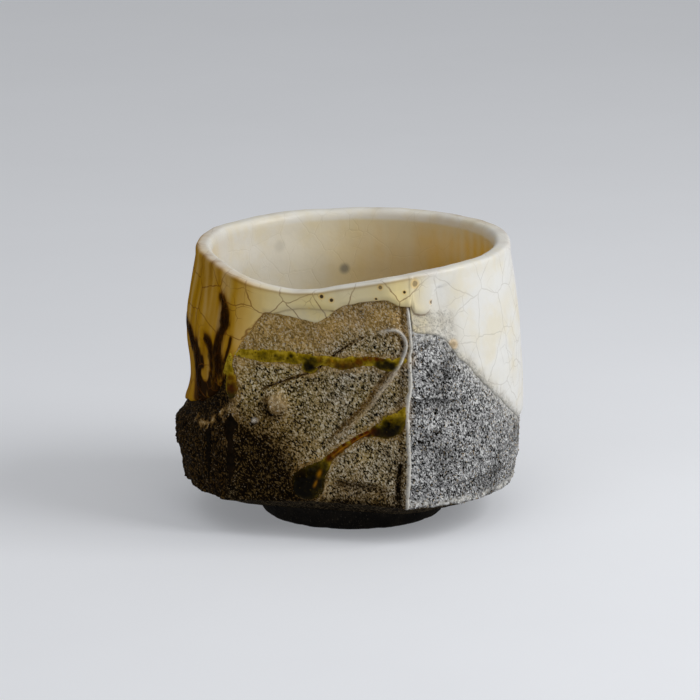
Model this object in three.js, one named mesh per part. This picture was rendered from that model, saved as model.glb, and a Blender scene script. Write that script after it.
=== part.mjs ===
// A hand-built sake cup. A slab of clay is bent round a floor disc and closed at an upright seam,
// its front is cut to a flat face, and a foot ring is joined on underneath. A white crackle glaze
// covers the inside, the lip and part of the outside. Amber and brown glaze has run down over it.
// Millimetres, +Z up. Angles are degrees round the cup's axis: 0 is the front (-Y), 90 is +X.

import * as THREE from 'three';

const { degToRad, lerp, radToDeg, smoothstep } = THREE.MathUtils;
const fullTurn = 360;
const halfTurn = fullTurn / 2;

// Wall
const bellyRadius = 32.1; // outside, where the wall is widest
const bellyHeight = 19;
const rimRadius = 29.4; // outside, at the lip
const rimHeight = 51.5; // top of the clay at the sides
const rimThickness = 2.2;
const wallThickness = 6; // beside the floor
const edgeHeight = 6.8; // lower edge of the wall at the sides and back
const slipJoint = 0.25; // slip between two pieces of clay

// Lip, which dips at the front and rises a little at the right and the back
const lipDip = 3.8;
const lipDipAngle = -23;
const lipDipSpread = 31;
const lipRise = 0.9;
const lipRiseAngle = 115;
const lipRiseSpread = 85;
const lipRounding = 1.4;

// Flat front face and the arrises on either side of it
const frontAngle = -13.4; // way that the face looks
const frontDistance = 26.75; // from the cup's axis
const frontEdgeRise = 1.2; // how much higher the wall's lower edge is at the front
const frontEdgeAngle = -5;
const frontEdgeSpread = 40;
const arrisRounding = 0.65;
const insideRounding = 1.6;

// Seam, a thin upright fin beside the right arris
const seamAngle = 20.2;
const seamDepth = 0.8;
const seamWidth = 1.5;
const seamEnd = 2; // below the rim, where the fin has sunk into the lip
const seamFade = 7; // length over which it sinks

// Torn clay that swells out low on the left side, and the hollow in the wall above it
const swellDepth = 1.6;
const swellAngle = -88;
const swellSpread = 22;
const swellHeight = 16.5;
const swellReach = 5;
const hollowDepth = 1.8;
const hollowAngle = -96;
const hollowSpread = 30;
const hollowHeight = 27;
const hollowReach = 7;

// Floor and foot
const floorHeight = 11.5; // top of the floor at the middle
const floorDish = 0.8; // how much the floor rises towards the wall
const floorCove = 3.5; // rounded corner between floor and wall
const footHeight = 4.4;
const footRadius = 17.6;
const footFlare = 1; // how much wider the foot is at its top
const footWidth = 4.4; // ring's width where it stands
const footChamfer = 0.5;
const coveTop = floorHeight + floorDish + floorCove;
const floorUnderside = footHeight + slipJoint;

// Glazes
const coatThickness = 0.6;
const coatEdge = 0.3; // thickness at the white glaze's lower edge
const coatSeat = 0.2; // room between the white glaze and the clay
const coatRamp = 1.5; // how far below the white glaze a run begins to lift over its edge
const runSeat = 0.2; // room between a run and what it lies on

// Lower edge of the white glaze, as [angle, drop below the rim]
const whiteEdge = [
  [-halfTurn, 34.5], [-150, 32], [-125, 35], [-95, 30], [-64, 26.5], [-53, 21.5], [-49.5, 15], [-46, 10.5],
  [-37, 6.2], [-20, 5.6], [-4, 4.4], [6, 4], [18.5, 5.6], [22, 9.6], [31, 11.2], [36, 14.5], [48, 21.6],
  [58, 26], [69, 29.8], [81, 32.6], [105, 34.5], [140, 31], [halfTurn, 34.5],
];

// Runs, as [angle, height, half width]
const upperAmberPath = [
  [-42.2, 35.9, 1.2], [-32, 35.7, 1.4], [-18, 35, 1.3], [-5, 35.4, 0.7], [6, 35.2, 1.1], [15.5, 35, 1],
];
const cornerAmberPath = [[-45.3, 33.3, 0.6], [-45.8, 30.5, 0.9], [-46.2, 26.8, 0.7]];
const lowerAmberPath = [
  [17, 26.5, 0.7], [13.5, 23.8, 1.9], [7, 22, 0.9], [-1, 19.7, 0.7], [-8, 16.9, 0.8], [-13, 14.2, 2],
  [-17, 12, 3.3], [-20.5, 9.6, 3.1],
];
const nearDripPath = [[-46.5, 23.5, 0.8], [-46, 17, 0.9], [-46, 11.5, 0.8]];
const farDripPath = [[-56, 20.5, 0.7], [-56.5, 16, 0.9], [-57, 11.8, 0.7]];

// Runs on the white glaze of the left side, as [angle, drop below the rim, half width]
const frontBrownPath = [[-50, 6.5, 0.7], [-50.3, 10, 1.1], [-52, 14.6, 0.6]];
const middleBrownPath = [[-59, 11.5, 0.6], [-56, 15.5, 0.9], [-55.5, 18.5, 0.6]];
const rearBrownPath = [[-80, 14.5, 0.7], [-72, 17, 1.2], [-66, 20.5, 1], [-65.5, 24.5, 0.8]];

const amberThickness = 0.8;
const beadThickness = 1.5; // the lower amber run ends in a thick round bead
const beadStart = 0.6; // share of the run's length where it begins to swell
const beadFull = 0.9;
const brownThickness = 0.7;
const dripThickness = 0.6;
const runEndPower = 8; // a higher power gives a run blunter ends

// Steps of the round surfaces and of the runs
const frontSteps = 16;
const sideSteps = 46;
const glazedSteps = 8; // up the outside, above the white glaze's lower edge
const bareSteps = 3; // up the outside, below that edge
const innerSteps = 4;
const lipSteps = 3;
const coveSteps = 3;
const runSteps = 14;
const runAcross = 4;

const bareClay = { color: 0x8a8272, roughness: 0.95, metalness: 0 };
const smokedClay = { color: 0x4a443c, roughness: 0.95, metalness: 0 };
const whiteGlaze = { color: 0xe6e0cf, roughness: 0.25, metalness: 0 };
const amberGlaze = { color: 0x7d6412, roughness: 0.1, metalness: 0 };
const brownGlaze = { color: 0x4b2b10, roughness: 0.15, metalness: 0 };
const darkGlaze = { color: 0x241a10, roughness: 0.2, metalness: 0 };

// A hump of height 1 over an angle, which dies away on both sides
function hump(angle, centre, spread) {
  const away = THREE.MathUtils.euclideanModulo(angle - centre + halfTurn, fullTurn) - halfTurn;
  return Math.exp(-((away / spread) ** 2));
}

// The smaller of two lengths, with the corner between them rounded
function smoothMin(a, b, rounding) {
  const share = Math.min(Math.max(0.5 + (0.5 * (b - a)) / rounding, 0), 1);
  return lerp(b, a, share) - rounding * share * (1 - share);
}

function rimAt(angle) {
  const dip = lipDip * hump(angle, lipDipAngle, lipDipSpread);
  return rimHeight - dip + lipRise * hump(angle, lipRiseAngle, lipRiseSpread);
}

function edgeAt(angle) {
  return edgeHeight + frontEdgeRise * hump(angle, frontEdgeAngle, frontEdgeSpread);
}

// Barrel-shaped wall without its flat front
function barrelRadius(height) {
  const share = (height - bellyHeight) / (rimHeight - bellyHeight);
  return bellyRadius - (bellyRadius - rimRadius) * share ** 2;
}

// Cuts a flat face, at a distance from the axis, into a round radius
function cutFront(angle, radius, distance, rounding) {
  const turned = Math.cos(degToRad(angle - frontAngle));
  return distance < 2 * radius * turned ? smoothMin(radius, distance / turned, rounding) : radius;
}

function seamFin(angle, height) {
  const away = Math.abs(degToRad(angle - seamAngle)) * bellyRadius;
  const depth = seamDepth * smoothstep(rimAt(angle) - height, seamEnd, seamEnd + seamFade);
  return depth * Math.max(0, 1 - (2 * away) / seamWidth);
}

function tornSwell(angle, height) {
  const rise = Math.exp(-(((height - swellHeight) / swellReach) ** 2));
  return swellDepth * rise * hump(angle, swellAngle, swellSpread);
}

function leftHollow(angle, height) {
  const rise = Math.exp(-(((height - hollowHeight) / hollowReach) ** 2));
  return hollowDepth * rise * hump(angle, hollowAngle, hollowSpread);
}

function outsideRadius(angle, height) {
  const radius = cutFront(angle, barrelRadius(height), frontDistance, arrisRounding);
  return radius + seamFin(angle, height) + tornSwell(angle, height) - leftHollow(angle, height);
}

function insideRadius(angle, height) {
  const share = (height - floorHeight) / (rimHeight - floorHeight);
  const thickness = lerp(wallThickness, rimThickness, share);
  return cutFront(angle, barrelRadius(height) - thickness, frontDistance - thickness, insideRounding);
}

function whiteEdgeAt(angle) {
  const next = Math.max(1, whiteEdge.findIndex(([place]) => place >= angle));
  const [[fromAngle, fromDrop], [toAngle, toDrop]] = [whiteEdge[next - 1], whiteEdge[next]];
  return rimAt(angle) - lerp(fromDrop, toDrop, smoothstep(angle, fromAngle, toAngle));
}

// Angles at which the round pieces are drawn, with the seam's fin and the left arris among them
const finHalfAngle = radToDeg(seamWidth / 2 / bellyRadius);
const leftArris = 2 * frontAngle - seamAngle;
const frontSpan = seamAngle - finHalfAngle - leftArris;
const sideSpan = fullTurn - frontSpan - 2 * finHalfAngle;
const stations = [seamAngle];
for (let i = 0; i < sideSteps; i += 1) {
  const angle = seamAngle + finHalfAngle + (i * sideSpan) / sideSteps;
  stations.push(angle > halfTurn ? angle - fullTurn : angle);
}
for (let i = 0; i <= frontSteps; i += 1) {
  stations.push(leftArris + (i * frontSpan) / frontSteps);
}

function placeAt(angle, radius, height) {
  const turn = degToRad(angle);
  return new THREE.Vector3(radius * Math.sin(turn), -radius * Math.cos(turn), height);
}

// Closed surface through rings of points, where a ring or an edge may shrink to one point.
// Each quad is split along its shorter diagonal, so that surfaces lying on each other are split alike
function surfaceThrough(rings, closed) {
  const count = rings[0].length;
  const points = rings.flat();
  const corners = [];
  const addTriangle = (a, b, c) => {
    const flat = points[a].equals(points[b]) || points[b].equals(points[c]) || points[c].equals(points[a]);
    if (!flat) corners.push(a, b, c);
  };
  const spans = closed ? rings.length : rings.length - 1;
  for (let i = 0; i < spans; i += 1) {
    const here = i * count;
    const there = ((i + 1) % rings.length) * count;
    for (let j = 0; j < count; j += 1) {
      const up = (j + 1) % count;
      const [a, b, c, d] = [here + j, there + j, there + up, here + up];
      const rising = points[a].distanceToSquared(points[c]) < points[b].distanceToSquared(points[d]);
      addTriangle(a, b, rising ? c : d);
      addTriangle(rising ? a : b, c, d);
    }
  }
  const geometry = new THREE.BufferGeometry().setFromPoints(points);
  geometry.setIndex(corners);
  geometry.computeVertexNormals();
  return geometry;
}

// Sweeps a section of [radius, height] points round the axis. It runs up the outside and down the inside
function sweepRound(sectionAt) {
  const ringAt = (angle) => sectionAt(angle).map(([radius, height]) => placeAt(angle, radius, height));
  return surfaceThrough(stations.map(ringAt), true);
}

// Upright line on a face of the wall, from one height to another
function wallLine(radiusAt, angle, from, to, steps) {
  return Array.from({ length: steps + 1 }, (_, i) => {
    const height = lerp(from, to, i / steps);
    return [radiusAt(angle, height), height];
  });
}

// Outside of the wall from the white glaze's lower edge up to the lip
function glazedLine(angle) {
  return wallLine(outsideRadius, angle, whiteEdgeAt(angle), rimAt(angle) - lipRounding, glazedSteps);
}

// Inside of the wall from the top of the cove up to the lip
function innerLine(angle) {
  return wallLine(insideRadius, angle, coveTop, rimAt(angle) - lipRounding, innerSteps);
}

// Rounded top of the lip, from the outside to the inside
function lipLine(angle) {
  const base = rimAt(angle) - lipRounding;
  const [inside, outside] = [insideRadius(angle, base), outsideRadius(angle, base)];
  return Array.from({ length: lipSteps }, (_, i) => {
    const turn = (Math.PI * (i + 1)) / (lipSteps + 1);
    const radius = (inside + outside) / 2 + ((outside - inside) / 2) * Math.cos(turn);
    return [radius, base + lipRounding * Math.sin(turn)];
  });
}

// Top of the floor, from the axis out to the wall
function floorLine(angle) {
  const wall = insideRadius(angle, coveTop) - slipJoint;
  const cove = Array.from({ length: coveSteps + 1 }, (_, i) => {
    const turn = ((Math.PI / 2) * i) / coveSteps;
    return [wall - floorCove * (1 - Math.sin(turn)), coveTop - floorCove * Math.cos(turn)];
  });
  return [[0, floorHeight], ...cove];
}

function wallSection(angle) {
  const bare = wallLine(outsideRadius, angle, edgeAt(angle), whiteEdgeAt(angle), bareSteps);
  const foot = [insideRadius(angle, floorUnderside), floorUnderside];
  return [...bare.slice(0, -1), ...glazedLine(angle), ...lipLine(angle), ...innerLine(angle).reverse(), foot];
}

function floorSection(angle) {
  const top = floorLine(angle);
  const underside = insideRadius(angle, floorUnderside) - slipJoint;
  return [[0, floorUnderside], [underside, floorUnderside], ...top.reverse()];
}

function footSection() {
  const inner = footRadius - footWidth;
  return [
    [inner, 0],
    [footRadius - footChamfer, 0],
    [footRadius, footChamfer],
    [footRadius + footFlare, footHeight],
    [inner - footFlare, footHeight],
  ];
}

// Moves a line of [radius, height] points sideways, to the left of its direction. It starts on the axis
function offsetLine(line, distanceAt) {
  return line.map(([radius, height], i) => {
    const distance = distanceAt(i / (line.length - 1));
    if (i === 0) return [radius, height + distance];
    const [before, after] = [line[i - 1], line[Math.min(i + 1, line.length - 1)]];
    const [alongRadius, alongHeight] = [after[0] - before[0], after[1] - before[1]];
    const share = distance / Math.hypot(alongRadius, alongHeight);
    return [radius - alongHeight * share, height + alongRadius * share];
  });
}

// Clay surface that the white glaze covers: floor, inside, lip and outside down to its lower edge
function coatedLine(angle) {
  const inner = innerLine(angle).slice(1);
  return [...floorLine(angle), ...inner, ...lipLine(angle).reverse(), ...glazedLine(angle).reverse()];
}

function whiteSection(angle) {
  const line = coatedLine(angle);
  const under = offsetLine(line, () => coatSeat);
  const over = offsetLine(line, (share) => coatSeat + (share < 1 ? coatThickness : coatEdge));
  return [...under, ...over.reverse()];
}

// Radius that a run lies on: bare clay, or the white glaze where that covers the clay
function seatRadius(angle, height) {
  const edge = whiteEdgeAt(angle);
  const lift = (coatSeat + coatThickness) * smoothstep(height, edge - coatRamp, edge);
  return outsideRadius(angle, height) + lift + runSeat;
}

// A run of glaze with a flat back and a rounded front, along [angle, height, half width] points
function glazeRun(path, thicknessAt) {
  const onCurve = ([angle, height, half]) => new THREE.Vector3(degToRad(angle) * bellyRadius, height, half);
  const curve = new THREE.CatmullRomCurve3(path.map(onCurve));
  const rings = Array.from({ length: runSteps + 1 }, (_, i) => {
    const along = (1 - Math.cos((Math.PI * i) / runSteps)) / 2;
    const centre = curve.getPoint(along);
    const tangent = curve.getTangent(along);
    const side = new THREE.Vector2(tangent.y, -tangent.x).normalize();
    const roundEnd = Math.sqrt(Math.max(0, 1 - (2 * along - 1) ** runEndPower));
    const half = i === 0 || i === runSteps ? 0 : centre.z * roundEnd;
    const pointAt = (across, rise) => {
      const angle = radToDeg((centre.x + side.x * half * across) / bellyRadius);
      const height = centre.y + side.y * half * across;
      const lift = half === 0 ? 0 : rise * thicknessAt(along) * roundEnd * Math.sqrt(1 - across ** 2);
      return placeAt(angle, seatRadius(angle, height) + lift, height);
    };
    const back = Array.from({ length: runAcross + 1 }, (_, j) => pointAt((2 * j) / runAcross - 1, 0));
    const front = Array.from({ length: runAcross - 1 }, (_, j) => pointAt(1 - (2 * (j + 1)) / runAcross, 1));
    return [...back, ...front];
  });
  return surfaceThrough(rings, false);
}

// Thickness of the run that ends in a bead
function beadedThickness(along) {
  return lerp(amberThickness, beadThickness, smoothstep(along, beadStart, beadFull));
}

// Turns drops below the rim into heights
function fromRim(path) {
  return path.map(([angle, drop, half]) => [angle, rimAt(angle) - drop, half]);
}

const cup = new THREE.Group();

function addPiece(name, geometry, finish) {
  const piece = new THREE.Mesh(geometry, new THREE.MeshStandardMaterial(finish));
  piece.name = name;
  cup.add(piece);
}

addPiece('wall_slab', sweepRound(wallSection), bareClay);
addPiece('floor_disc', sweepRound(floorSection), smokedClay);
addPiece('foot_ring', sweepRound(footSection), smokedClay);
addPiece('white_glaze', sweepRound(whiteSection), whiteGlaze);
addPiece('upper_amber_run', glazeRun(upperAmberPath, () => amberThickness), amberGlaze);
addPiece('corner_amber_run', glazeRun(cornerAmberPath, () => amberThickness), amberGlaze);
addPiece('lower_amber_run', glazeRun(lowerAmberPath, beadedThickness), amberGlaze);
addPiece('front_brown_run', glazeRun(fromRim(frontBrownPath), () => brownThickness), brownGlaze);
addPiece('middle_brown_run', glazeRun(fromRim(middleBrownPath), () => brownThickness), brownGlaze);
addPiece('rear_brown_run', glazeRun(fromRim(rearBrownPath), () => brownThickness), brownGlaze);
addPiece('near_dark_drip', glazeRun(nearDripPath, () => dripThickness), darkGlaze);
addPiece('far_dark_drip', glazeRun(farDripPath, () => dripThickness), darkGlaze);

// The origin is under the middle of the cup's box, on the plane that it stands on
const middle = new THREE.Box3().setFromObject(cup).getCenter(new THREE.Vector3());
cup.position.set(-middle.x, -middle.y, 0);

export default cup;
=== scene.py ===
import math

import bpy
import numpy as np
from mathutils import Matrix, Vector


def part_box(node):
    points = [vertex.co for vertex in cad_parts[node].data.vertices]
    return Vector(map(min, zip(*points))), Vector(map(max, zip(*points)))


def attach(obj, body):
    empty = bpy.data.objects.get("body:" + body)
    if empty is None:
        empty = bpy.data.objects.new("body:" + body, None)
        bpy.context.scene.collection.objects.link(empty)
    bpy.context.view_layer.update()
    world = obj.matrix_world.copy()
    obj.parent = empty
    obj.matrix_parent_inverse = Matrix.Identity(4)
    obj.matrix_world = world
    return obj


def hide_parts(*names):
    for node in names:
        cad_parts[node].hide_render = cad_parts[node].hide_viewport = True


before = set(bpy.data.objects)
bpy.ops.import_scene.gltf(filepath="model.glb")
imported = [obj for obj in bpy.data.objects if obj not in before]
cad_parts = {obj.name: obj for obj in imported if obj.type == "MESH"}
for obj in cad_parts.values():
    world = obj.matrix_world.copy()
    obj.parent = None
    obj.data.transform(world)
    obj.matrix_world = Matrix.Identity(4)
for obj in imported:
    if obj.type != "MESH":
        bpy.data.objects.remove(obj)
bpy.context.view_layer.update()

mm = 0.001
tiny = 1e-6
footLow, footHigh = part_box("foot_ring")
cupAxis = np.array([(footLow.x + footHigh.x) / 2, (footLow.y + footHigh.y) / 2, 0.0])

# The clay body, in millimetres and degrees. Angle 0 is the front (-Y), 90 is +X
cup = {
    "bellyRadius": 32.1, "bellyHeight": 19.0, "rimRadius": 29.4, "rimHeight": 51.5,
    "rimThickness": 2.2, "wallThickness": 6.0, "edgeHeight": 6.8, "slipJoint": 0.25,
    "lipDip": 3.8, "lipDipAngle": -23.0, "lipDipSpread": 31.0,
    "lipRise": 0.9, "lipRiseAngle": 115.0, "lipRiseSpread": 85.0, "lipRounding": 1.4,
    "frontAngle": -13.4, "frontDistance": 26.75, "arrisRounding": 0.65, "insideRounding": 1.6,
    "frontEdgeRise": 1.2, "frontEdgeAngle": -5.0, "frontEdgeSpread": 40.0,
    "swellDepth": 1.6, "swellAngle": -88.0, "swellSpread": 22.0, "swellHeight": 16.5, "swellReach": 5.0,
    "hollowDepth": 1.8, "hollowAngle": -96.0, "hollowSpread": 30.0, "hollowHeight": 27.0, "hollowReach": 7.0,
    "floorHeight": 11.5, "floorDish": 0.8, "floorCove": 3.5, "footHeight": 4.4,
}


def smoothStep(value, low, high):
    share = np.clip((value - low) / (high - low), 0.0, 1.0)
    return share * share * (3.0 - 2.0 * share)


# Up between the first two limits and down again between the last two
def between(value, riseLow, riseHigh, fallLow, fallHigh):
    return smoothStep(value, riseLow, riseHigh) * (1 - smoothStep(value, fallLow, fallHigh))


def bell(value, centre, width):
    return np.exp(-(((value - centre) / width) ** 2))


# Bell round the cup, in degrees
def hump(angle, centre, width):
    return bell((angle - centre + 180.0) % 360.0 - 180.0, 0.0, width)


def quarterRound(share):
    return np.sqrt(1 - (1 - np.clip(share, 0, 1)) ** 2)


def most(*values):
    return np.max(values, axis=0)


def smoothMin(a, b, rounding):
    share = np.clip(0.5 + 0.5 * (b - a) / rounding, 0.0, 1.0)
    return b + (a - b) * share - rounding * share * (1.0 - share)


def rimAt(angle):
    dip = cup["lipDip"] * hump(angle, cup["lipDipAngle"], cup["lipDipSpread"])
    rise = cup["lipRise"] * hump(angle, cup["lipRiseAngle"], cup["lipRiseSpread"])
    return cup["rimHeight"] - dip + rise


def edgeAt(angle):
    rise = cup["frontEdgeRise"] * hump(angle, cup["frontEdgeAngle"], cup["frontEdgeSpread"])
    return cup["edgeHeight"] + rise


def barrelRadius(height):
    share = (height - cup["bellyHeight"]) / (cup["rimHeight"] - cup["bellyHeight"])
    return cup["bellyRadius"] - (cup["bellyRadius"] - cup["rimRadius"]) * share ** 2


def cutFront(angle, radius, distance, rounding):
    turned = np.cos(np.radians(angle - cup["frontAngle"]))
    flat = distance / np.where(np.abs(turned) < tiny, tiny, turned)
    return np.where(distance < 2 * radius * turned, smoothMin(radius, flat, rounding), radius)


# Swelling or hollow on the left side
def bulge(name, angle, height):
    depth, centre, spread, level, reach = (cup[name + part] for part in ("Depth", "Angle", "Spread", "Height", "Reach"))
    return depth * bell(height, level, reach) * hump(angle, centre, spread)


def bodyRadius(angle, height):
    barrel = cutFront(angle, barrelRadius(height), cup["frontDistance"], cup["arrisRounding"])
    return barrel + bulge("swell", angle, height) - bulge("hollow", angle, height)


def insideRadius(angle, height):
    share = (height - cup["floorHeight"]) / (cup["rimHeight"] - cup["floorHeight"])
    thickness = cup["wallThickness"] + (cup["rimThickness"] - cup["wallThickness"]) * share
    return cutFront(angle, barrelRadius(height) - thickness, cup["frontDistance"] - thickness, cup["insideRounding"])


def placeAt(angle, radius, height):
    turn = np.radians(angle)
    return np.stack([radius * np.sin(turn), -radius * np.cos(turn), height + 0 * turn], axis=-1)


def angleOf(points):
    return np.degrees(np.arctan2(points[..., 0], -points[..., 1]))


hashPrimes = (73856093, 19349663, 83492791, 2654435761)
hashMix, wordMask, halfWord = 0x45D9F3B, 0xFFFFFFFF, 16
slopeBits, slopeMask, noiseGain = 10, 1023, 1.5


def hashAt(ix, iy, iz, seed):
    mixed = 0
    for value, prime in zip((ix, iy, iz, seed), hashPrimes):
        mixed = mixed ^ (value * prime)
    mixed = mixed & wordMask
    for _ in range(2):
        mixed = (((mixed >> halfWord) ^ mixed) * hashMix) & wordMask
    return (mixed >> halfWord) ^ mixed


# Smooth noise from about -1 to 1, the same on every run
def noiseAt(points, cell, seed):
    scaled = points / np.asarray(cell, float)
    low = np.floor(scaled).astype(np.int64)
    part = scaled - low
    ease = part ** 3 * (part * (part * 6 - 15) + 10)
    total = np.zeros(points.shape[:-1])
    for corner in np.ndindex(2, 2, 2):
        code = hashAt(low[..., 0] + corner[0], low[..., 1] + corner[1], low[..., 2] + corner[2], seed)
        weight = np.ones_like(total)
        lean = np.zeros_like(total)
        for axis in range(3):
            slope = ((code >> (slopeBits * axis)) & slopeMask) / (slopeMask / 2) - 1
            lean += slope * (part[..., axis] - corner[axis])
            weight *= ease[..., axis] if corner[axis] else 1 - ease[..., axis]
        total += weight * lean
    return total * noiseGain


# Sum of noises, each given as [strength, cell, seed]
def layered(points, layers):
    return sum(strength * noiseAt(points, cell, seed) for strength, cell, seed in layers)


# Patches where a noise passes from its low to its high limit
def patches(points, cell, seed, low, high):
    return smoothStep(noiseAt(points, cell, seed), low, high)


# Smooth curve through listed points, which may carry further values such as a half width
def smoothPath(stops, steps):
    points = np.asarray(stops, float)
    ends = np.vstack([2 * points[0] - points[1], points, 2 * points[-1] - points[-2]])
    share = np.linspace(0, len(points) - 1, steps)
    at = np.minimum(share.astype(int), len(points) - 2)
    t = (share - at)[:, None]
    a, b, c, d = (ends[at + i] for i in range(4))
    return 0.5 * (2 * b + (c - a) * t + (2 * a - 5 * b + 4 * c - d) * t ** 2 + (3 * b - a - 3 * c + d) * t ** 3)


def onWall(path):
    return placeAt(path[:, 0], bodyRadius(path[:, 0], path[:, 1]), path[:, 1])


def spotOnWall(angle, height):
    return onWall(np.array([[angle, height]], float))[0]


# Distance of points from a path on the wall, the share of the path's length there, and the side:
# + is above a path that runs to the right, and right of one that runs down
def nearPath(points, stops, reach, steps):
    path = onWall(smoothPath(stops, steps)[:, :2])
    distance = np.full(points.shape[:-1], reach)
    share = np.zeros_like(distance)
    side = np.zeros_like(distance)
    inside = np.all((points > path.min(0) - reach) & (points < path.max(0) + reach), axis=-1)
    near = points[inside]
    bestDistance = np.full(len(near), reach)
    bestShare = np.zeros(len(near))
    bestSide = np.zeros(len(near))
    for i in range(len(path) - 1):
        start, along = path[i], path[i + 1] - path[i]
        t = np.clip((near - start) @ along / (along @ along), 0, 1)
        away = near - (start + t[:, None] * along)
        length = np.linalg.norm(away, axis=-1)
        outward = np.array([start[0], start[1], 0.0]) / np.hypot(start[0], start[1])
        across = np.cross(outward, along / np.linalg.norm(along))
        closer = length < bestDistance
        bestDistance[closer] = length[closer]
        bestShare[closer] = ((i + t) / (len(path) - 1))[closer]
        bestSide[closer] = (away @ across)[closer]
    distance[inside], share[inside], side[inside] = bestDistance, bestShare, bestSide
    return distance, share, side


# Edges of the white glaze as [angle, height]: its lower edge, and the thick glaze above a thin veil of it
skinEdge = {
    "white": [
        [-180, 17.5], [-150, 19.8], [-125, 16.6], [-95, 21.5], [-88, 21.5], [-64, 24.4], [-57, 26.2], [-53, 27.6],
        [-50, 29.6], [-46, 34.0], [-43.4, 37.1], [-41.8, 38.6], [-39.5, 40.4], [-36.8, 42.6], [-34.6, 44.0],
        [-31.8, 44.0], [-26.9, 43.6], [-21, 42.9], [-14.5, 42.8], [-9.8, 43.9], [-6.9, 45.0], [-3, 46.1],
        [0.9, 46.6], [5.6, 47.2], [9.9, 47.5], [12.5, 47.5], [14.4, 46.9], [15.9, 46.3], [20.4, 46.1], [21.1, 41.8],
        [25, 41.1], [31.1, 40.1], [35.1, 38.2], [38.6, 36.1], [43.4, 33.4], [49.5, 30.1], [57.4, 26.3], [67, 22.6],
        [77, 19.8], [105, 17.9], [140, 21.3], [180, 17.5]],
    "thickRight": [
        [20.4, 46.6], [21.1, 45.6], [22, 44.8], [23.9, 44.5], [25.8, 44.5], [27.6, 45.1], [28.4, 46.2], [28.8, 47.2],
        [29.6, 48.4], [31.5, 49.2]],
    "thickFront": [[-31, 43.9], [-27, 44.6], [-22, 45.1], [-16, 45.2], [-10, 45.1], [-7.5, 45.0]],
    "veilFrom": 20.4, "veilTo": 44.0, "wanderRadius": 32.0,
    "ragged": [[0.34, 5.0, 11], [0.22, 1.9, 12]],
    "raggedRight": [[0.55, 3.4, 13], [0.35, 1.2, 14]], "raggedRightAt": [46, 18],
}


def heightOn(edge, angle):
    stops = np.array(skinEdge[edge], float)
    return np.interp(angle, stops[:, 0], stops[:, 1])


def whiteEdgeAt(angle):
    wander = placeAt(angle, skinEdge["wanderRadius"] + 0 * angle, 0 * angle)
    ragged = layered(wander, skinEdge["ragged"])
    ragged = ragged + hump(angle, *skinEdge["raggedRightAt"]) * layered(wander, skinEdge["raggedRight"])
    return heightOn("white", angle) + ragged


def thickEdgeAt(angle):
    inFront = (angle > skinEdge["thickFront"][0][0]) & (angle < skinEdge["thickFront"][-1][0])
    bottom = np.where(inFront, heightOn("thickFront", angle), heightOn("thickRight", angle))
    veiled = inFront | ((angle > skinEdge["veilFrom"]) & (angle < skinEdge["veilTo"]))
    white = whiteEdgeAt(angle)
    return np.where(veiled, np.maximum(bottom, white), white)


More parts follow.
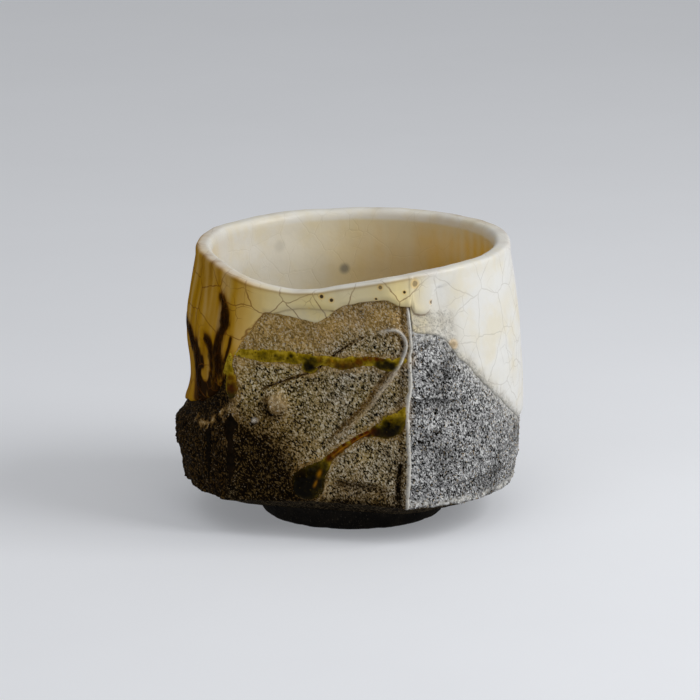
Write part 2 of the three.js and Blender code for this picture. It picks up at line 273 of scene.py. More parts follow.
# Where the runs of glaze lie, as [angle, height, half width], with their thickness
runs = {
    "upperAmberRun": {"node": "upper_amber_run", "slot": "amber_glaze", "ragged": 0.3, "thickness": 0.34, "path": [
        [-45, 35.6, 0.8], [-42.8, 35.85, 1.1], [-40.5, 35.8, 1.15], [-35.8, 35.6, 1.3], [-28.8, 35.6, 1.2],
        [-24.2, 35.4, 1.28], [-20.6, 35.35, 1.15], [-19.2, 35.1, 1.3], [-17.8, 34.5, 2.05], [-16.4, 35.0, 1.35],
        [-14.6, 35.15, 1.15], [-11, 35.2, 1.0], [-5, 34.95, 1.25], [-1.8, 35.15, 1.3], [3.5, 35.55, 1.1],
        [6.4, 35.7, 0.95], [9.9, 35.45, 1.15], [13.9, 35.3, 1.25], [16, 35.9, 0.85], [17.9, 36.2, 0.8],
        [18.8, 36.3, 0.8]]},
    "cornerAmberRun": {"node": "corner_amber_run", "slot": "amber_glaze", "ragged": 0.3, "thickness": 0.6, "path": [
        [-45.6, 35.9, 0.35], [-46.6, 34.0, 0.5], [-46.8, 32.4, 0.8], [-46.2, 30.7, 1.2], [-46, 28.8, 1.2],
        [-45.9, 27.0, 0.8]]},
    "lowerAmberRun": {"node": "lower_amber_run", "slot": "amber_glaze", "ragged": 0.3, "thickness": 0.8, "path": [
        [18.2, 27.5, 0.4], [17.2, 25.9, 1.1], [15.2, 24.3, 1.95], [12.5, 23.1, 2.05], [10, 22.4, 1.5], [8, 22.1, 1.0],
        [6, 21.8, 0.6], [3.5, 21.3, 0.48], [0.5, 20.3, 0.48], [-2.6, 19.2, 0.55], [-5.1, 18.3, 0.6],
        [-9.1, 16.6, 0.75], [-11.3, 15.3, 1.0], [-13.4, 14.2, 1.7], [-15.4, 13.0, 2.7], [-17.8, 11.6, 3.3],
        [-19.9, 10.2, 2.8], [-21.5, 9.2, 1.8], [-22.1, 8.8, 0.9]]},
    "frontBrownRun": {"node": "front_brown_run", "slot": "brown_glaze", "ragged": 0.75, "thickness": 0.2, "path": [
        [-52.6, 45.9, 0.3], [-50.9, 44.4, 0.7], [-50, 42.8, 1.3], [-50, 41.2, 1.5], [-51, 39.4, 1.0],
        [-52, 37.4, 1.1], [-52.8, 35.4, 1.6], [-51.9, 33.3, 1.2], [-50.8, 31.6, 0.9], [-50.4, 30.2, 0.7]]},
    "middleBrownRun": {"node": "middle_brown_run", "slot": "brown_glaze", "ragged": 0.75, "thickness": 0.2, "path": [
        [-62, 37.0, 0.6], [-58.6, 36.6, 1.1], [-56.0, 34.8, 1.3], [-54.6, 31.8, 1.2], [-54.6, 28.6, 0.8]]},
    "rearBrownRun": {"node": "rear_brown_run", "slot": "brown_glaze", "ragged": 0.75, "thickness": 0.2, "path": [
        [-90, 38.6, 0.6], [-80, 37.2, 1.3], [-73, 35.4, 1.6], [-68.4, 32.6, 1.6], [-66, 29.6, 1.5],
        [-64.8, 26.6, 1.3], [-64.2, 24.2, 0.8]]},
    "nearDarkDrip": {"node": "near_dark_drip", "slot": "dark_glaze", "ragged": 0.8, "thickness": 0.4, "path": [
        [-45.9, 24.3, 0.7], [-45.9, 22.6, 0.95], [-46, 20.6, 0.8], [-46, 18.1, 0.65], [-45.8, 15.2, 0.8],
        [-45.8, 11.2, 0.5]]},
    "farDarkDrip": {"node": "far_dark_drip", "slot": "dark_glaze", "ragged": 0.8, "thickness": 0.4, "path": [
        [-55.8, 21.2, 0.5], [-56.2, 18.2, 0.95], [-56.8, 14.6, 0.75], [-57, 11.4, 0.5]]},
}


# Distance of points from the middle of a run, and the run's half width there
def gapToRun(points, run, reach, steps=26):
    path = run["path"]
    gap, share, _ = nearPath(points, [stop[:2] for stop in path], reach, steps)
    half = np.interp(share, np.linspace(0, 1, len(path)), [stop[2] for stop in path])
    return gap, half


# What is modelled on the bare clay: limits to fade between, noises as [strength, cell, seed], bells as [centre, width]
relief = {
    "frontFrom": [-48, -43], "frontTo": [-0.3, 0.3], "rightFrom": [-0.1, 0.5], "rightTo": [86, 120],
    "leftSpan": [-125, -95, -49, -44.5],
    "surface": [[0.24, 11.0, 21], [0.13, 4.2, 22], [0.07, 1.5, 23]],
    "fine": [[0.09, 0.62, 24]], "grains": [[0.08, 0.9, 25]],
    "layers": [[0.16, [5.0, 5.0, 1.1], 26], [0.10, [2.4, 2.4, 0.8], 27]], "backLayers": 0.7,
    "dishDepth": 0.45, "dishSpread": 22.0, "dishHeight": [26.0, 13.0],
    "bandTop": 11.7, "bandDepth": 0.45, "bandEdge": [0, 0.5], "bandWander": [[0.5, 4.0, 37]],
    "chipReach": 0.8, "chips": [[0.5, 2.4, 38], [0.25, 0.9, 39]], "chipDepth": 0.25,
}
seam = {
    "angle": 20.2, "depth": 0.7, "half": 0.4, "end": 2.0, "fade": 5.0, "crest": 0.6,
    "width": 0.92, "ragged": [[0.36, 1.3, 28]], "height": 0.85, "uneven": [[0.25, 2.1, 29]],
    "groove": [-1.3, 0.7], "grooveDepth": 0.28,
    "wander": [
        [7, -1.0], [9.6, -1.1], [16.4, -0.8], [21.2, -1.1], [26, -1.6], [29, -1.2], [30.4, -0.7], [32.5, -0.4],
        [34.7, -0.6], [37.3, -0.5], [38.4, 0.2], [41.1, 0.0], [43.2, -0.2], [46, -0.6], [52, -0.6]],
}
curl = {
    "reach": 5.0, "steps": 64, "crispTo": [0.54, 0.68], "width": 0.24, "wider": 0.14, "widerFrom": [0.55, 0.75],
    "ends": [0.03, 0.16, 0.86, 1.0], "crispHeight": 0.6, "softHeight": 0.45,
    "flank": [-0.85, 0.5], "flankReach": 4.5, "flankCrisp": 0.5, "flankDepth": 0.45,
    "path": [
        [5.4, 40.5], [9.5, 41.4], [13.2, 41.9], [15.5, 41.9], [17.4, 41.1], [18.6, 39.9], [18.7, 38.8], [18.2, 37.6],
        [17.4, 36.5], [16.5, 35.3], [15.2, 34.2], [13.1, 32.1], [9.9, 29.7], [6.4, 26.9], [-1.4, 22.7], [-8.6, 19.4],
        [-14.2, 17.0]],
}
cutLine = {
    "reach": 3.0, "steps": 30, "width": 0.2, "start": [0, 0.06], "end": [0.8, 1], "endFade": 0.6,
    "depth": 0.4, "ridge": 0.14, "ridgeAt": [0.75, 0.4],
    "path": [
        [-36.4, 28.9], [-34.4, 29.6], [-30.8, 30.4], [-25.8, 31.4], [-18.4, 32.7], [-15.4, 33.2], [-10.5, 35.2],
        [-6.1, 37.0], [-0.6, 38.8], [5.4, 40.5]],
}
lumps = {
    "knob": [-30.8, 26.7, 2.25], "crumb": [-38.3, 22.9, 0.6], "uneven": [[0.3, 1.8, 30]], "height": 0.85,
    "knobShadeSide": [0.35, 0.8], "crumbHighlightTop": [-0.3, 0.3],
    "shadowOff": [0.8, 0, 0.8], "shadowRadius": 1.9, "shadowDepth": 0.25,
}
lap = {
    "path": [[20.0, 28.8], [31, 28.2], [45, 27.0]], "reach": 5.0, "steps": 24, "ends": [0.0, 0.03, 0.75, 1.0],
    "edge": [-0.12, 0.2], "below": 3.0, "depth": 0.42,
}
gouges = {
    "reach": 4.0, "steps": 20, "uneven": [[0.35, 1.6, 31]], "ends": [0, 0.12, 0.9, 1], "depth": 0.75,
    "cuts": [[0.75, [[-9.1, 11.9], [-1, 11.6], [6.5, 11.2], [13.9, 10.4]]],
             [0.7, [[17.4, 16.5], [16.4, 13.3], [16.2, 8.6]]]],
}
torn = {
    "lip": [[-118, 19.0], [-104, 18.6], [-88, 19.6], [-74, 19.6], [-66.4, 21.6], [-57.6, 20.9], [-52.5, 23.8],
            [-48.2, 24.7], [-45.9, 26.0], [-44, 27.2]],
    "ragged": [[0.8, 2.6, 32], [0.4, 1.0, 33]], "span": [-122, -104, -47, -42.5],
    "stepLow": -0.35, "stepHigh": 0.55, "slower": 1.2, "slowerTo": [-80, -62], "height": 0.45, "clodHeight": 0.95,
    "clods": [[0.5, 3.2, 34], [0.34, 1.5, 35]], "nodules": [[0.2, 0.8, 36]],
    "rockHighlightFrom": [-78, -58], "rockHighlightBelow": [0.6, 0.9], "rockHighlightPatches": [1.6, 40, -0.4, 0.15],
}


def seamAngleAt(height):
    wander = np.array(seam["wander"], float)
    return seam["angle"] + np.interp(height, wander[:, 0], wander[:, 1])


# How far round the wall a point lies from the seam, in millimetres
def offSeamAt(angle, height):
    return np.radians(angle - seamAngleAt(height)) * cup["bellyRadius"]


# Upright fin of the seam with a groove beside it
def seamForm(points, angle, height, offSeam):
    up = smoothStep(rimAt(angle) - height, seam["end"], seam["end"] + seam["fade"])
    half = seam["half"] * (seam["width"] + layered(points, seam["ragged"]))
    fin = np.maximum(0, 1 - np.abs(offSeam) / half) ** seam["crest"]
    lift = seam["depth"] * up * fin * (seam["height"] + layered(points, seam["uneven"]))
    lift = lift - seam["grooveDepth"] * up * bell(offSeam, *seam["groove"])
    return {"lift": lift, "seamUp": up, "seamFin": fin}


# Curled fin that turns into a soft ridge
def curlForm(points):
    gap, share, side = nearPath(points, curl["path"], curl["reach"], curl["steps"])
    crisp = 1 - smoothStep(share, *curl["crispTo"])
    width = curl["width"] + curl["wider"] * smoothStep(share, *curl["widerFrom"])
    ends = between(share, *curl["ends"])
    fin = bell(gap, 0.0, width) * ends
    flank = bell(side, *curl["flank"]) * (gap < curl["flankReach"]) * (1 - curl["flankCrisp"] * crisp) * ends
    lift = fin * (curl["crispHeight"] * crisp + curl["softHeight"] * (1 - crisp)) - curl["flankDepth"] * flank
    return {"lift": lift, "curlFin": fin, "curlFlank": flank, "curlCrisp": crisp, "curlShare": share}


def cutForm(points):
    gap, share, _ = nearPath(points, cutLine["path"], cutLine["reach"], cutLine["steps"])
    mark = bell(gap, 0.0, cutLine["width"]) * smoothStep(share, *cutLine["start"])
    mark = mark * (1 - cutLine["endFade"] * smoothStep(share, *cutLine["end"]))
    return {"lift": cutLine["ridge"] * bell(gap, *cutLine["ridgeAt"]) - cutLine["depth"] * mark, "cutMark": mark}


def lumpOn(away, size):
    return np.exp(-((np.linalg.norm(away, axis=-1) / size) ** 4))


# Knob and crumb of clay, each with a hollow below and to the left that is also painted dark as its shadow; the knob's
# left side is painted as shaded and the crumb's top as a painted highlight
def lumpForm(points):
    uneven = 1 + layered(points, lumps["uneven"])
    raised = shaded = np.zeros(points.shape[:-1])
    for name in ("knob", "crumb"):
        angle, height, radius = lumps[name]
        away = points - spotOnWall(angle, height)
        lump = lumpOn(away, radius * uneven)
        raised = np.maximum(raised, lump)
        shift = np.array(lumps["shadowOff"]) * radius / lumps["shadowRadius"]
        shaded = np.maximum(shaded, lumpOn(away + shift, radius * uneven))
        if name == "knob":
            shadedSide = lump * smoothStep(-away[..., 0] / radius, *lumps["knobShadeSide"])
        else:
            crumbHighlight = lump * smoothStep(away[..., 2], *lumps["crumbHighlightTop"])
    shaded = shaded * (1 - raised)
    lift = lumps["height"] * raised - lumps["shadowDepth"] * shaded
    return {"lift": lift, "knobs": raised, "knobShadow": shaded, "knobShadeSide": shadedSide, "crumbHighlight": crumbHighlight}


# Lap of clay across the right side, sunk below its edge, where its shadow is also painted
def lapForm(points):
    gap, share, side = nearPath(points, lap["path"], lap["reach"], lap["steps"])
    below = smoothStep(-side, *lap["edge"]) * bell(np.maximum(0, -side), 0.0, lap["below"])
    shadow = np.where(gap < lap["reach"], below * between(share, *lap["ends"]), 0)
    return {"lift": -lap["depth"] * shadow, "lapShadow": shadow}


# Gouges near the lower edge
def gougeForm(points):
    deepest = np.zeros(points.shape[:-1])
    for width, path in gouges["cuts"]:
        gap, share, _ = nearPath(points, path, gouges["reach"], gouges["steps"])
        cut = bell(gap, 0.0, width * (1 + layered(points, gouges["uneven"])))
        deepest = np.maximum(deepest, cut * between(share, *gouges["ends"]))
    return {"lift": -gouges["depth"] * deepest, "gouges": deepest}


# Torn clay, proud below a ragged lip on the left, with a painted highlight on the upper edges of its clods
def tornForm(points, angle, height):
    lip = np.array(torn["lip"], float)
    under = np.interp(angle, lip[:, 0], lip[:, 1]) + layered(points, torn["ragged"]) - height
    side = between(angle, *torn["span"])
    stepHigh = torn["stepHigh"] + torn["slower"] * (1 - smoothStep(angle, *torn["slowerTo"]))
    proud = side * smoothStep(under, torn["stepLow"], stepHigh)
    rockHighlight = side * smoothStep(angle, *torn["rockHighlightFrom"]) * bell(under, *torn["rockHighlightBelow"])
    rockHighlight = rockHighlight * patches(points, *torn["rockHighlightPatches"])
    clods = layered(points, torn["clods"]) + np.abs(layered(points, torn["nodules"]))
    return {"lift": proud * (torn["height"] + torn["clodHeight"] * clods), "rockHighlight": rockHighlight}


# How far the bare clay stands out from the smooth body, and the marks that colour it
def clayRelief(angle, height):
    points = placeAt(angle, bodyRadius(angle, height), height)
    offSeam = offSeamAt(angle, height)
    front = smoothStep(angle, *relief["frontFrom"]) * (1 - smoothStep(offSeam, *relief["frontTo"]))
    right = smoothStep(offSeam, *relief["rightFrom"]) * (1 - smoothStep(angle, *relief["rightTo"]))
    left = between(angle, *relief["leftSpan"])
    back = np.clip(1 - front - right - left, 0, 1)
    lift = layered(points, relief["surface"])
    lift += layered(points, relief["fine"]) + np.maximum(0, layered(points, relief["grains"]))
    lift += (right + relief["backLayers"] * back) * layered(points, relief["layers"])
    dish = bell(angle, cup["frontAngle"], relief["dishSpread"]) * bell(height, *relief["dishHeight"])
    lift -= relief["dishDepth"] * front * dish
    shown = {"front": front, "right": right, "left": left, "back": back, "offSeam": offSeam}
    for form in (seamForm(points, angle, height, offSeam), curlForm(points), cutForm(points), lumpForm(points),
                 lapForm(points), gougeForm(points), tornForm(points, angle, height)):
        lift += form.pop("lift")
        shown.update(form)
    # lower band of the right side, and chips along the lower edge
    bandTop = relief["bandTop"] - height + layered(points, relief["bandWander"])
    lift -= relief["bandDepth"] * right * smoothStep(bandTop, *relief["bandEdge"])
    chips = np.exp(-np.maximum(0, height - edgeAt(angle)) / relief["chipReach"])
    lift += chips * (layered(points, relief["chips"]) - relief["chipDepth"])
    return lift, clayMarks(points, angle, height, shown)


# Weights of what colours the bare clay; patches are [cell, seed, low, high]
clayTint = {
    "haloReach": 5.0, "haloEdge": [-0.3, 2.0], "lowClay": [9, 26], "sootCloud": [[1.0, 6.0, 41]],
    "cornerTop": [9, 31], "cornerTo": [-48, -8], "leftSootAndShade": 1.15, "leftCloud": 0.2, "cornerSoot": 2.1,
    "lowSoot": 0.06, "lowCloud": 0.15,
    "gougeLine": [[-10, 17], [12.2, 9.6]], "gougeLineEdge": [-0.3, 0.8], "gougeLineSpan": [-11, -7, 14, 18],
    "underGouge": 0.3, "lapShadowDark": 0.35, "gougeShade": 0.6, "edgeSoot": 0.6, "edgeSootAbove": 0.2, "edgeSootReach": 1.1,
    "backSoot": 0.3, "backLow": 0.35, "backCloud": 0.25,
    "rightPatches": [6.5, 42, 0.0, 0.55], "rightSoot": 0.4,
    "rightStreaks": [[5.0, 5.0, 0.9], 46, 0.1, 0.6], "streakSoot": 0.22,
    "besideSeam": [-1.2, 0.6], "seamShadowDark": 0.5,
    "flankShade": 0.6, "cutSoot": 1.1, "knobShadowDark": 0.9, "knobShadeSideDark": 0.4, "rockHighlightClean": 0.85,
    "warm": 0.2, "warmUnderGlaze": 0.75, "warmReach": [2.5, 9.5], "warmCloud": [[0.2, 5.0, 43]],
    "haloWarm": 0.85, "flankShadeWarm": 0.95, "leftWarm": 0.9,
    "curlHighlight": 0.85, "softCurlHighlight": 0.22, "softCurlTo": [0.7, 0.85],
    "dusting": 0.85, "dustingReach": 1.3, "dustingPatches": [0.8, 44, -0.45, 0.5],
    "brightEdge": 0.6, "brightEdgeAt": [0.7, 0.6], "brightPatches": [1.3, 45, -0.5, 0.3], "crumbHighlightPale": 0.7,
    "ridgeHighlightTan": 0.9, "rockHighlightTan": 0.3,
    "backCool": 0.6, "frontCoolFrom": [-30, 4], "frontCool": 0.22, "frontCoolCloud": [[0.3, 4.5, 47]],
}
clayMarkNames = ("soot", "warm", "pale", "tanHighlight", "cool")


def clayMarks(points, angle, height, shown):
    tint = clayTint
    front, right, left, back = (shown[side] for side in ("front", "right", "left", "back"))
    fromEdge, toGlaze = height - edgeAt(angle), whiteEdgeAt(angle) - height
    crisp, knobShadeSide, rockHighlight = shown["curlCrisp"], shown["knobShadeSide"], shown["rockHighlight"]
    halo = np.zeros_like(height)
    for run in runs.values():
        gap, half = gapToRun(points, run, tint["haloReach"])
        halo = np.maximum(halo, (1 - smoothStep(gap - half, *tint["haloEdge"])) * (gap < tint["haloReach"]))
    # soot and painted shade, darkest at the lower left, where the soot is deepened as painted shade on the side away
    # from the key lamp
    low = 1 - smoothStep(height, *tint["lowClay"])
    cloud = layered(points, tint["sootCloud"])
    corner = (1 - smoothStep(height, *tint["cornerTop"])) * (1 - smoothStep(angle, *tint["cornerTo"]))
    soot = left * (tint["leftSootAndShade"] + tint["leftCloud"] * cloud)
    soot = soot + front * (tint["cornerSoot"] * corner + low * (tint["lowSoot"] + tint["lowCloud"] * cloud))
    underGouge = smoothStep(np.interp(angle, *tint["gougeLine"]) - height, *tint["gougeLineEdge"])
    soot += tint["underGouge"] * underGouge * between(angle, *tint["gougeLineSpan"])
    # painted shadow below the lap and painted shade in the gouges
    soot += tint["lapShadowDark"] * shown["lapShadow"] + tint["gougeShade"] * shown["gouges"]
    nearEdge = np.exp(-np.maximum(0, fromEdge - tint["edgeSootAbove"]) / tint["edgeSootReach"])
    soot += tint["edgeSoot"] * nearEdge * (1 - right)
    soot += back * (tint["backSoot"] + tint["backLow"] * low + tint["backCloud"] * cloud)
    soot += right * (tint["rightSoot"] * patches(points, *tint["rightPatches"])
                     + tint["streakSoot"] * patches(points, *tint["rightStreaks"]))
    # painted shadow cast by the seam's fin on its left
    soot += tint["seamShadowDark"] * bell(shown["offSeam"], *tint["besideSeam"]) * shown["seamUp"]
    # painted shade on the curl's flank that faces away from the light
    soot += tint["flankShade"] * shown["curlFlank"] + tint["cutSoot"] * shown["cutMark"]
    # painted shadow beside the knob and painted shade on its left side
    soot += tint["knobShadowDark"] * shown["knobShadow"] + tint["knobShadeSideDark"] * knobShadeSide
    # the painted highlight on the torn clods takes the soot away there
    soot = soot * (1 - tint["rockHighlightClean"] * rockHighlight)
    # warm brown under the glaze, beside the runs and on the left; warm painted shade on the curl's flank and the knob's
    # left side; warm painted highlight on the torn clods
    underGlaze = tint["warmUnderGlaze"] * (1 - smoothStep(toGlaze, *tint["warmReach"]))
    warm = most(front * (tint["warm"] + underGlaze + layered(points, tint["warmCloud"])), tint["haloWarm"] * halo,
                tint["flankShadeWarm"] * shown["curlFlank"], shown["cutMark"], tint["leftWarm"] * left, rockHighlight, knobShadeSide)
    # pale dust and edges, and painted highlights on the crests of the seam and the curl and on the crumb's top
    softHighlight = tint["softCurlHighlight"] * (1 - crisp) * (1 - smoothStep(shown["curlShare"], *tint["softCurlTo"]))
    dusting = right * tint["dusting"] * np.exp(-np.maximum(0, toGlaze) / tint["dustingReach"])
    dusting = dusting * patches(points, *tint["dustingPatches"])
    brightEdge = right * bell(fromEdge, *tint["brightEdgeAt"]) * patches(points, *tint["brightPatches"])
    pale = most(shown["seamFin"] * shown["seamUp"], shown["curlFin"] * (tint["curlHighlight"] * crisp + softHighlight),
                tint["brightEdge"] * brightEdge, dusting, tint["crumbHighlightPale"] * shown["crumbHighlight"])
    # tan painted highlight on the knob's top and the curl's soft ridge
    tanHighlight = most(shown["knobs"] * (1 - knobShadeSide), tint["ridgeHighlightTan"] * shown["curlFin"] * (1 - crisp),
               tint["rockHighlightTan"] * rockHighlight)
    frontCool = tint["frontCool"] + layered(points, tint["frontCoolCloud"])
    frontCool = smoothStep(angle, *tint["frontCoolFrom"]) * frontCool
    cool = right + tint["backCool"] * back + front * frontCool
    return {name: np.clip(value, 0, 1) for name, value in zip(clayMarkNames, (soot, warm, pale, tanHighlight, cool))}


# Outside of the white glaze: how far it stands out from the smooth body, and where it is a thin veil
coat = {
    "seat": 0.1, "thickness": 0.68, "roll": 1.1, "veil": 0.16, "thinRoll": 0.5, "slopeStep": 0.4, "steepest": 9.0,
    "rightSpan": [20.4, 21.0, 80, 95], "softRoll": 2.2, "softerRoll": 3.3, "softerTo": [36, 48], "slowFrom": [30.5, 41],
    "frontSpan": [-40, -36, 27, 30], "frontBead": 0.16, "frontBeadAt": [1.0, 0.9],
    "wave": [[0.16, 9.0, 51], [0.07, 3.6, 52]],
    "rightWave": [[0.06, [9.0, 9.0, 1.8], 53]], "rightWaveFrom": [30, 45],
    "thinLip": 0.4, "thinLipAt": [-88, 42], "thinLipReach": [1.0, 12.0],
    "ghost": 0.3, "ghostWidth": 0.7, "ghostFrom": [1.0, 4.0],
    "underBand": [-31, -28, -10, -7.5], "bandVeil": 0.4,
    "veilTop": [44.0, 46.5], "veilTopFade": 0.8, "veilRoll": [0.3, 0.95],
    "fading": [0.2, 2.2], "fadingRagged": [[0.7, 0.9, 54]], "fadingSpan": [30, 35, 80, 95],
    "thinInside": 0.42, "thinInsideReach": 9.0,
}


def coatLift(angle, height):
    points = placeAt(angle, bodyRadius(angle, height), height)
    step, edge, drop = coat["slopeStep"], whiteEdgeAt(angle), rimAt(angle) - height
    slope = (whiteEdgeAt(angle + step) - whiteEdgeAt(angle - step)) / (2 * np.radians(step) * cup["bellyRadius"])
    lean = np.sqrt(1 + np.minimum(slope ** 2, coat["steepest"]))
    overEdge = (height - edge) / lean
    overThick = (height - thickEdgeAt(angle)) / lean
    rightSide = between(angle, *coat["rightSpan"])
    softRoll = coat["softRoll"] + coat["softerRoll"] * (1 - smoothStep(angle, *coat["softerTo"]))
    softRoll = coat["roll"] + rightSide * softRoll
    roll = quarterRound(overThick / coat["roll"])
    slowRoll = quarterRound(overEdge / softRoll) * smoothStep(angle, *coat["slowFrom"])
    roll = np.where(angle > skinEdge["veilFrom"], np.maximum(roll, slowRoll), roll)
    roll = np.where(angle > skinEdge["veilTo"], slowRoll, roll)
    thinRoll = quarterRound(overEdge / coat["thinRoll"])
    bead = between(angle, *coat["frontSpan"]) * coat["frontBead"] * bell(overThick, *coat["frontBeadAt"])
    thickness = coat["thickness"] * roll + bead * roll + coat["veil"] * thinRoll * (1 - roll)
    wave = layered(points, coat["wave"])
    wave += layered(points, coat["rightWave"]) * smoothStep(angle, *coat["rightWaveFrom"])
    # thinner towards the lip on the left, with the seam seen faintly through the coat
    thinLip = coat["thinLip"] * hump(angle, *coat["thinLipAt"]) * (1 - smoothStep(drop, *coat["thinLipReach"]))
    ghost = coat["ghost"] * bell(offSeamAt(angle, height), 0.0, coat["ghostWidth"])
    ghost = ghost * smoothStep(drop, *coat["ghostFrom"])
    veil = rightSide * (1 - coat["veilTopFade"] * smoothStep(height, *coat["veilTop"]))
    veil = veil + coat["bandVeil"] * between(angle, *coat["underBand"])
    veil = veil * (1 - smoothStep(roll, *coat["veilRoll"]))
    fading = 1 - smoothStep(overEdge + layered(points, coat["fadingRagged"]), *coat["fading"])
    veil = np.maximum(veil, fading * between(angle, *coat["fadingSpan"]))
    return (coat["seat"] + wave + ghost - thinLip) * thinRoll + thickness, veil


# Inside of the wall, where the coat gets thinner towards the lip
def thinnerInside(below):
    return coat["thinInside"] * (1 - smoothStep(below, 0.0, coat["thinInsideReach"]))


# Rows of points, closed round the cup, into a mesh with its marks as attributes
def meshFromRows(name, rows, closed, marks, material, flatMaps=None):
    count, around = rows.shape[:2]
    index = np.arange(count * around).reshape(count, around)
    for r in range(count):
        if np.ptp(rows[r], axis=0).max() < tiny:
            index[r] = index[r, 0]
    used, compact = np.unique(index, return_inverse=True)
    index = compact.reshape(count, around)
    lower = np.arange(count if closed else count - 1)
    upper = (lower + 1) % count
    a, d = index[lower], index[upper]
    b, c = np.roll(a, -1, axis=1), np.roll(d, -1, axis=1)
    quads = np.stack([a, b, c, d], axis=-1).reshape(-1, 4).tolist()
    faces, flatCorners = [], []
    for number, quad in enumerate(quads):
        kept = [i for i in range(4) if quad[i] not in quad[:i]]
        if len(kept) < 3:
            continue
        faces.append([quad[i] for i in kept])
        if flatMaps:
            row, column = divmod(number, around)
            spots = flatMaps(row, column)
            flatCorners += [spots[i] for i in kept]
    mesh = bpy.data.meshes.new(name)
    mesh.from_pydata((rows.reshape(-1, 3)[used] * mm + cupAxis).tolist(), [], faces)
    mesh.polygons.foreach_set("use_smooth", [True] * len(mesh.polygons))
    if flatMaps:
        mesh.uv_layers.new(name="skinMap").uv.foreach_set("vector", np.ravel(flatCorners))
    for mark, values in marks.items():
        addMark(mesh, mark, np.asarray(values).reshape(-1)[used])
    mesh.materials.append(material)
    mesh.update()
    return linked(bpy.data.objects.new(name, mesh))


def addMark(mesh, mark, values):
    layer = mesh.attributes.new(mark, "FLOAT", "POINT")
    layer.data.foreach_set("value", np.asarray(values, np.float32))


def linked(piece):
    bpy.context.scene.collection.objects.link(piece)
    return piece


def dress(piece, slot, *nodes):
    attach(piece, "root")
    if nodes:
        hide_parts(*nodes)
    print("made", piece.name, len(piece.data.polygons), "faces")
    return piece


# Shader helpers
def srgb(red, green, blue):
    parts = [value / 255 for value in (red, green, blue)]
    return [p / 12.92 if p < 0.04045 else ((p + 0.055) / 1.055) ** 2.4 for p in parts] + [1.0]


def put(tree, socket, value):
    if isinstance(value, bpy.types.NodeSocket):
        tree.links.new(value, socket)
    else:
        socket.default_value = value


def addNode(tree, kind, **settings):
    node = tree.nodes.new(kind)
    for key, value in settings.items():
        setattr(node, key, value)
    return node


def calc(tree, operation, first, second=0.0, clamp=False):
    node = addNode(tree, "ShaderNodeMath", operation=operation, use_clamp=clamp)
    put(tree, node.inputs[0], first)
    put(tree, node.inputs[1], second)
    return node.outputs[0]


def times(tree, first, second, clamp=False):
    return calc(tree, "MULTIPLY", first, second, clamp)


def plus(tree, first, second):
    return calc(tree, "ADD", first, second)


def blendColour(tree, factor, first, second, mode="MIX"):
    node = addNode(tree, "ShaderNodeMix", data_type="RGBA", blend_type=mode)
    put(tree, node.inputs["Factor"], factor)
    put(tree, node.inputs[6], first)
    put(tree, node.inputs[7], second)
    return node.outputs[2]


# Colours laid over one another, each given as (weight, colour)
def painted(tree, colour, coats):
    for weight, paint in coats:
        colour = blendColour(tree, weight, colour, paint)
    return colour


def spread(tree, value, fromLow, fromHigh, toLow=0.0, toHigh=1.0):
    node = addNode(tree, "ShaderNodeMapRange", interpolation_type="SMOOTHSTEP")
    for place, given in zip(range(5), (value, fromLow, fromHigh, toLow, toHigh)):
        put(tree, node.inputs[place], given)
    return node.outputs[0]


def colourRamp(tree, value, stops):
    node = addNode(tree, "ShaderNodeValToRGB")
    while len(node.color_ramp.elements) < len(stops):
        node.color_ramp.elements.new(0.5)
    for element, (place, colour) in zip(node.color_ramp.elements, stops):
        element.position = place
        element.color = colour
    put(tree, node.inputs[0], value)
    return node.outputs[0]


def noiseNode(tree, vector, size, detail=3.0, rough=0.55):
    node = addNode(tree, "ShaderNodeTexNoise")
    put(tree, node.inputs["Vector"], vector)
    node.inputs["Scale"].default_value = 1 / size
    node.inputs["Detail"].default_value = detail
    node.inputs["Roughness"].default_value = rough
    return node.outputs


def cellNode(tree, vector, size, feature="F1"):
    node = addNode(tree, "ShaderNodeTexVoronoi", feature=feature)
    put(tree, node.inputs["Vector"], vector)
    node.inputs["Scale"].default_value = 1 / size
    return node


# Random value of each cell
def cellValue(tree, cells):
    node = addNode(tree, "ShaderNodeSeparateColor")
    put(tree, node.inputs[0], cells.outputs["Color"])
    return node.outputs[0]


def attributeOf(tree, name):
    return addNode(tree, "ShaderNodeAttribute", attribute_name=name).outputs["Fac"]


# Object coordinates in millimetres
def millimetres(tree):
    place = addNode(tree, "ShaderNodeTexCoord").outputs["Object"]
    node = addNode(tree, "ShaderNodeVectorMath", operation="SCALE")
    put(tree, node.inputs[0], place)
    node.inputs["Scale"].default_value = 1 / mm
    return node.outputs[0]


# Vector pushed about by a noise of a given size
def pushed(tree, vector, place, size, push):
    node = addNode(tree, "ShaderNodeVectorMath", operation="MULTIPLY_ADD")
    put(tree, node.inputs[0], noiseNode(tree, place, size, 2.0)["Color"])
    node.inputs[1].default_value = push
    put(tree, node.inputs[2], vector)
    return node.outputs[0]


# Distance from a spot on the cup
def distanceFrom(tree, place, angle, radius, height):
    node = addNode(tree, "ShaderNodeVectorMath", operation="DISTANCE")
    put(tree, node.inputs[0], place)
    node.inputs[1].default_value = (placeAt(angle, radius, height) + cupAxis / mm).tolist()
    return node.outputs["Value"]


def newMaterial(name, settings):
    material = bpy.data.materials.new(name)
    material.use_nodes = True
    tree = material.node_tree
    shader = tree.nodes["Principled BSDF"]
    for socket, value in settings.items():
        shader.inputs[socket].default_value = value
    return material, tree, shader


def bumpInto(tree, shader, height, distance, strength):
    node = addNode(tree, "ShaderNodeBump")
    node.inputs["Strength"].default_value = strength
    node.inputs["Distance"].default_value = distance * mm
    put(tree, node.inputs["Height"], height)
    tree.links.new(node.outputs[0], shader.inputs["Normal"])


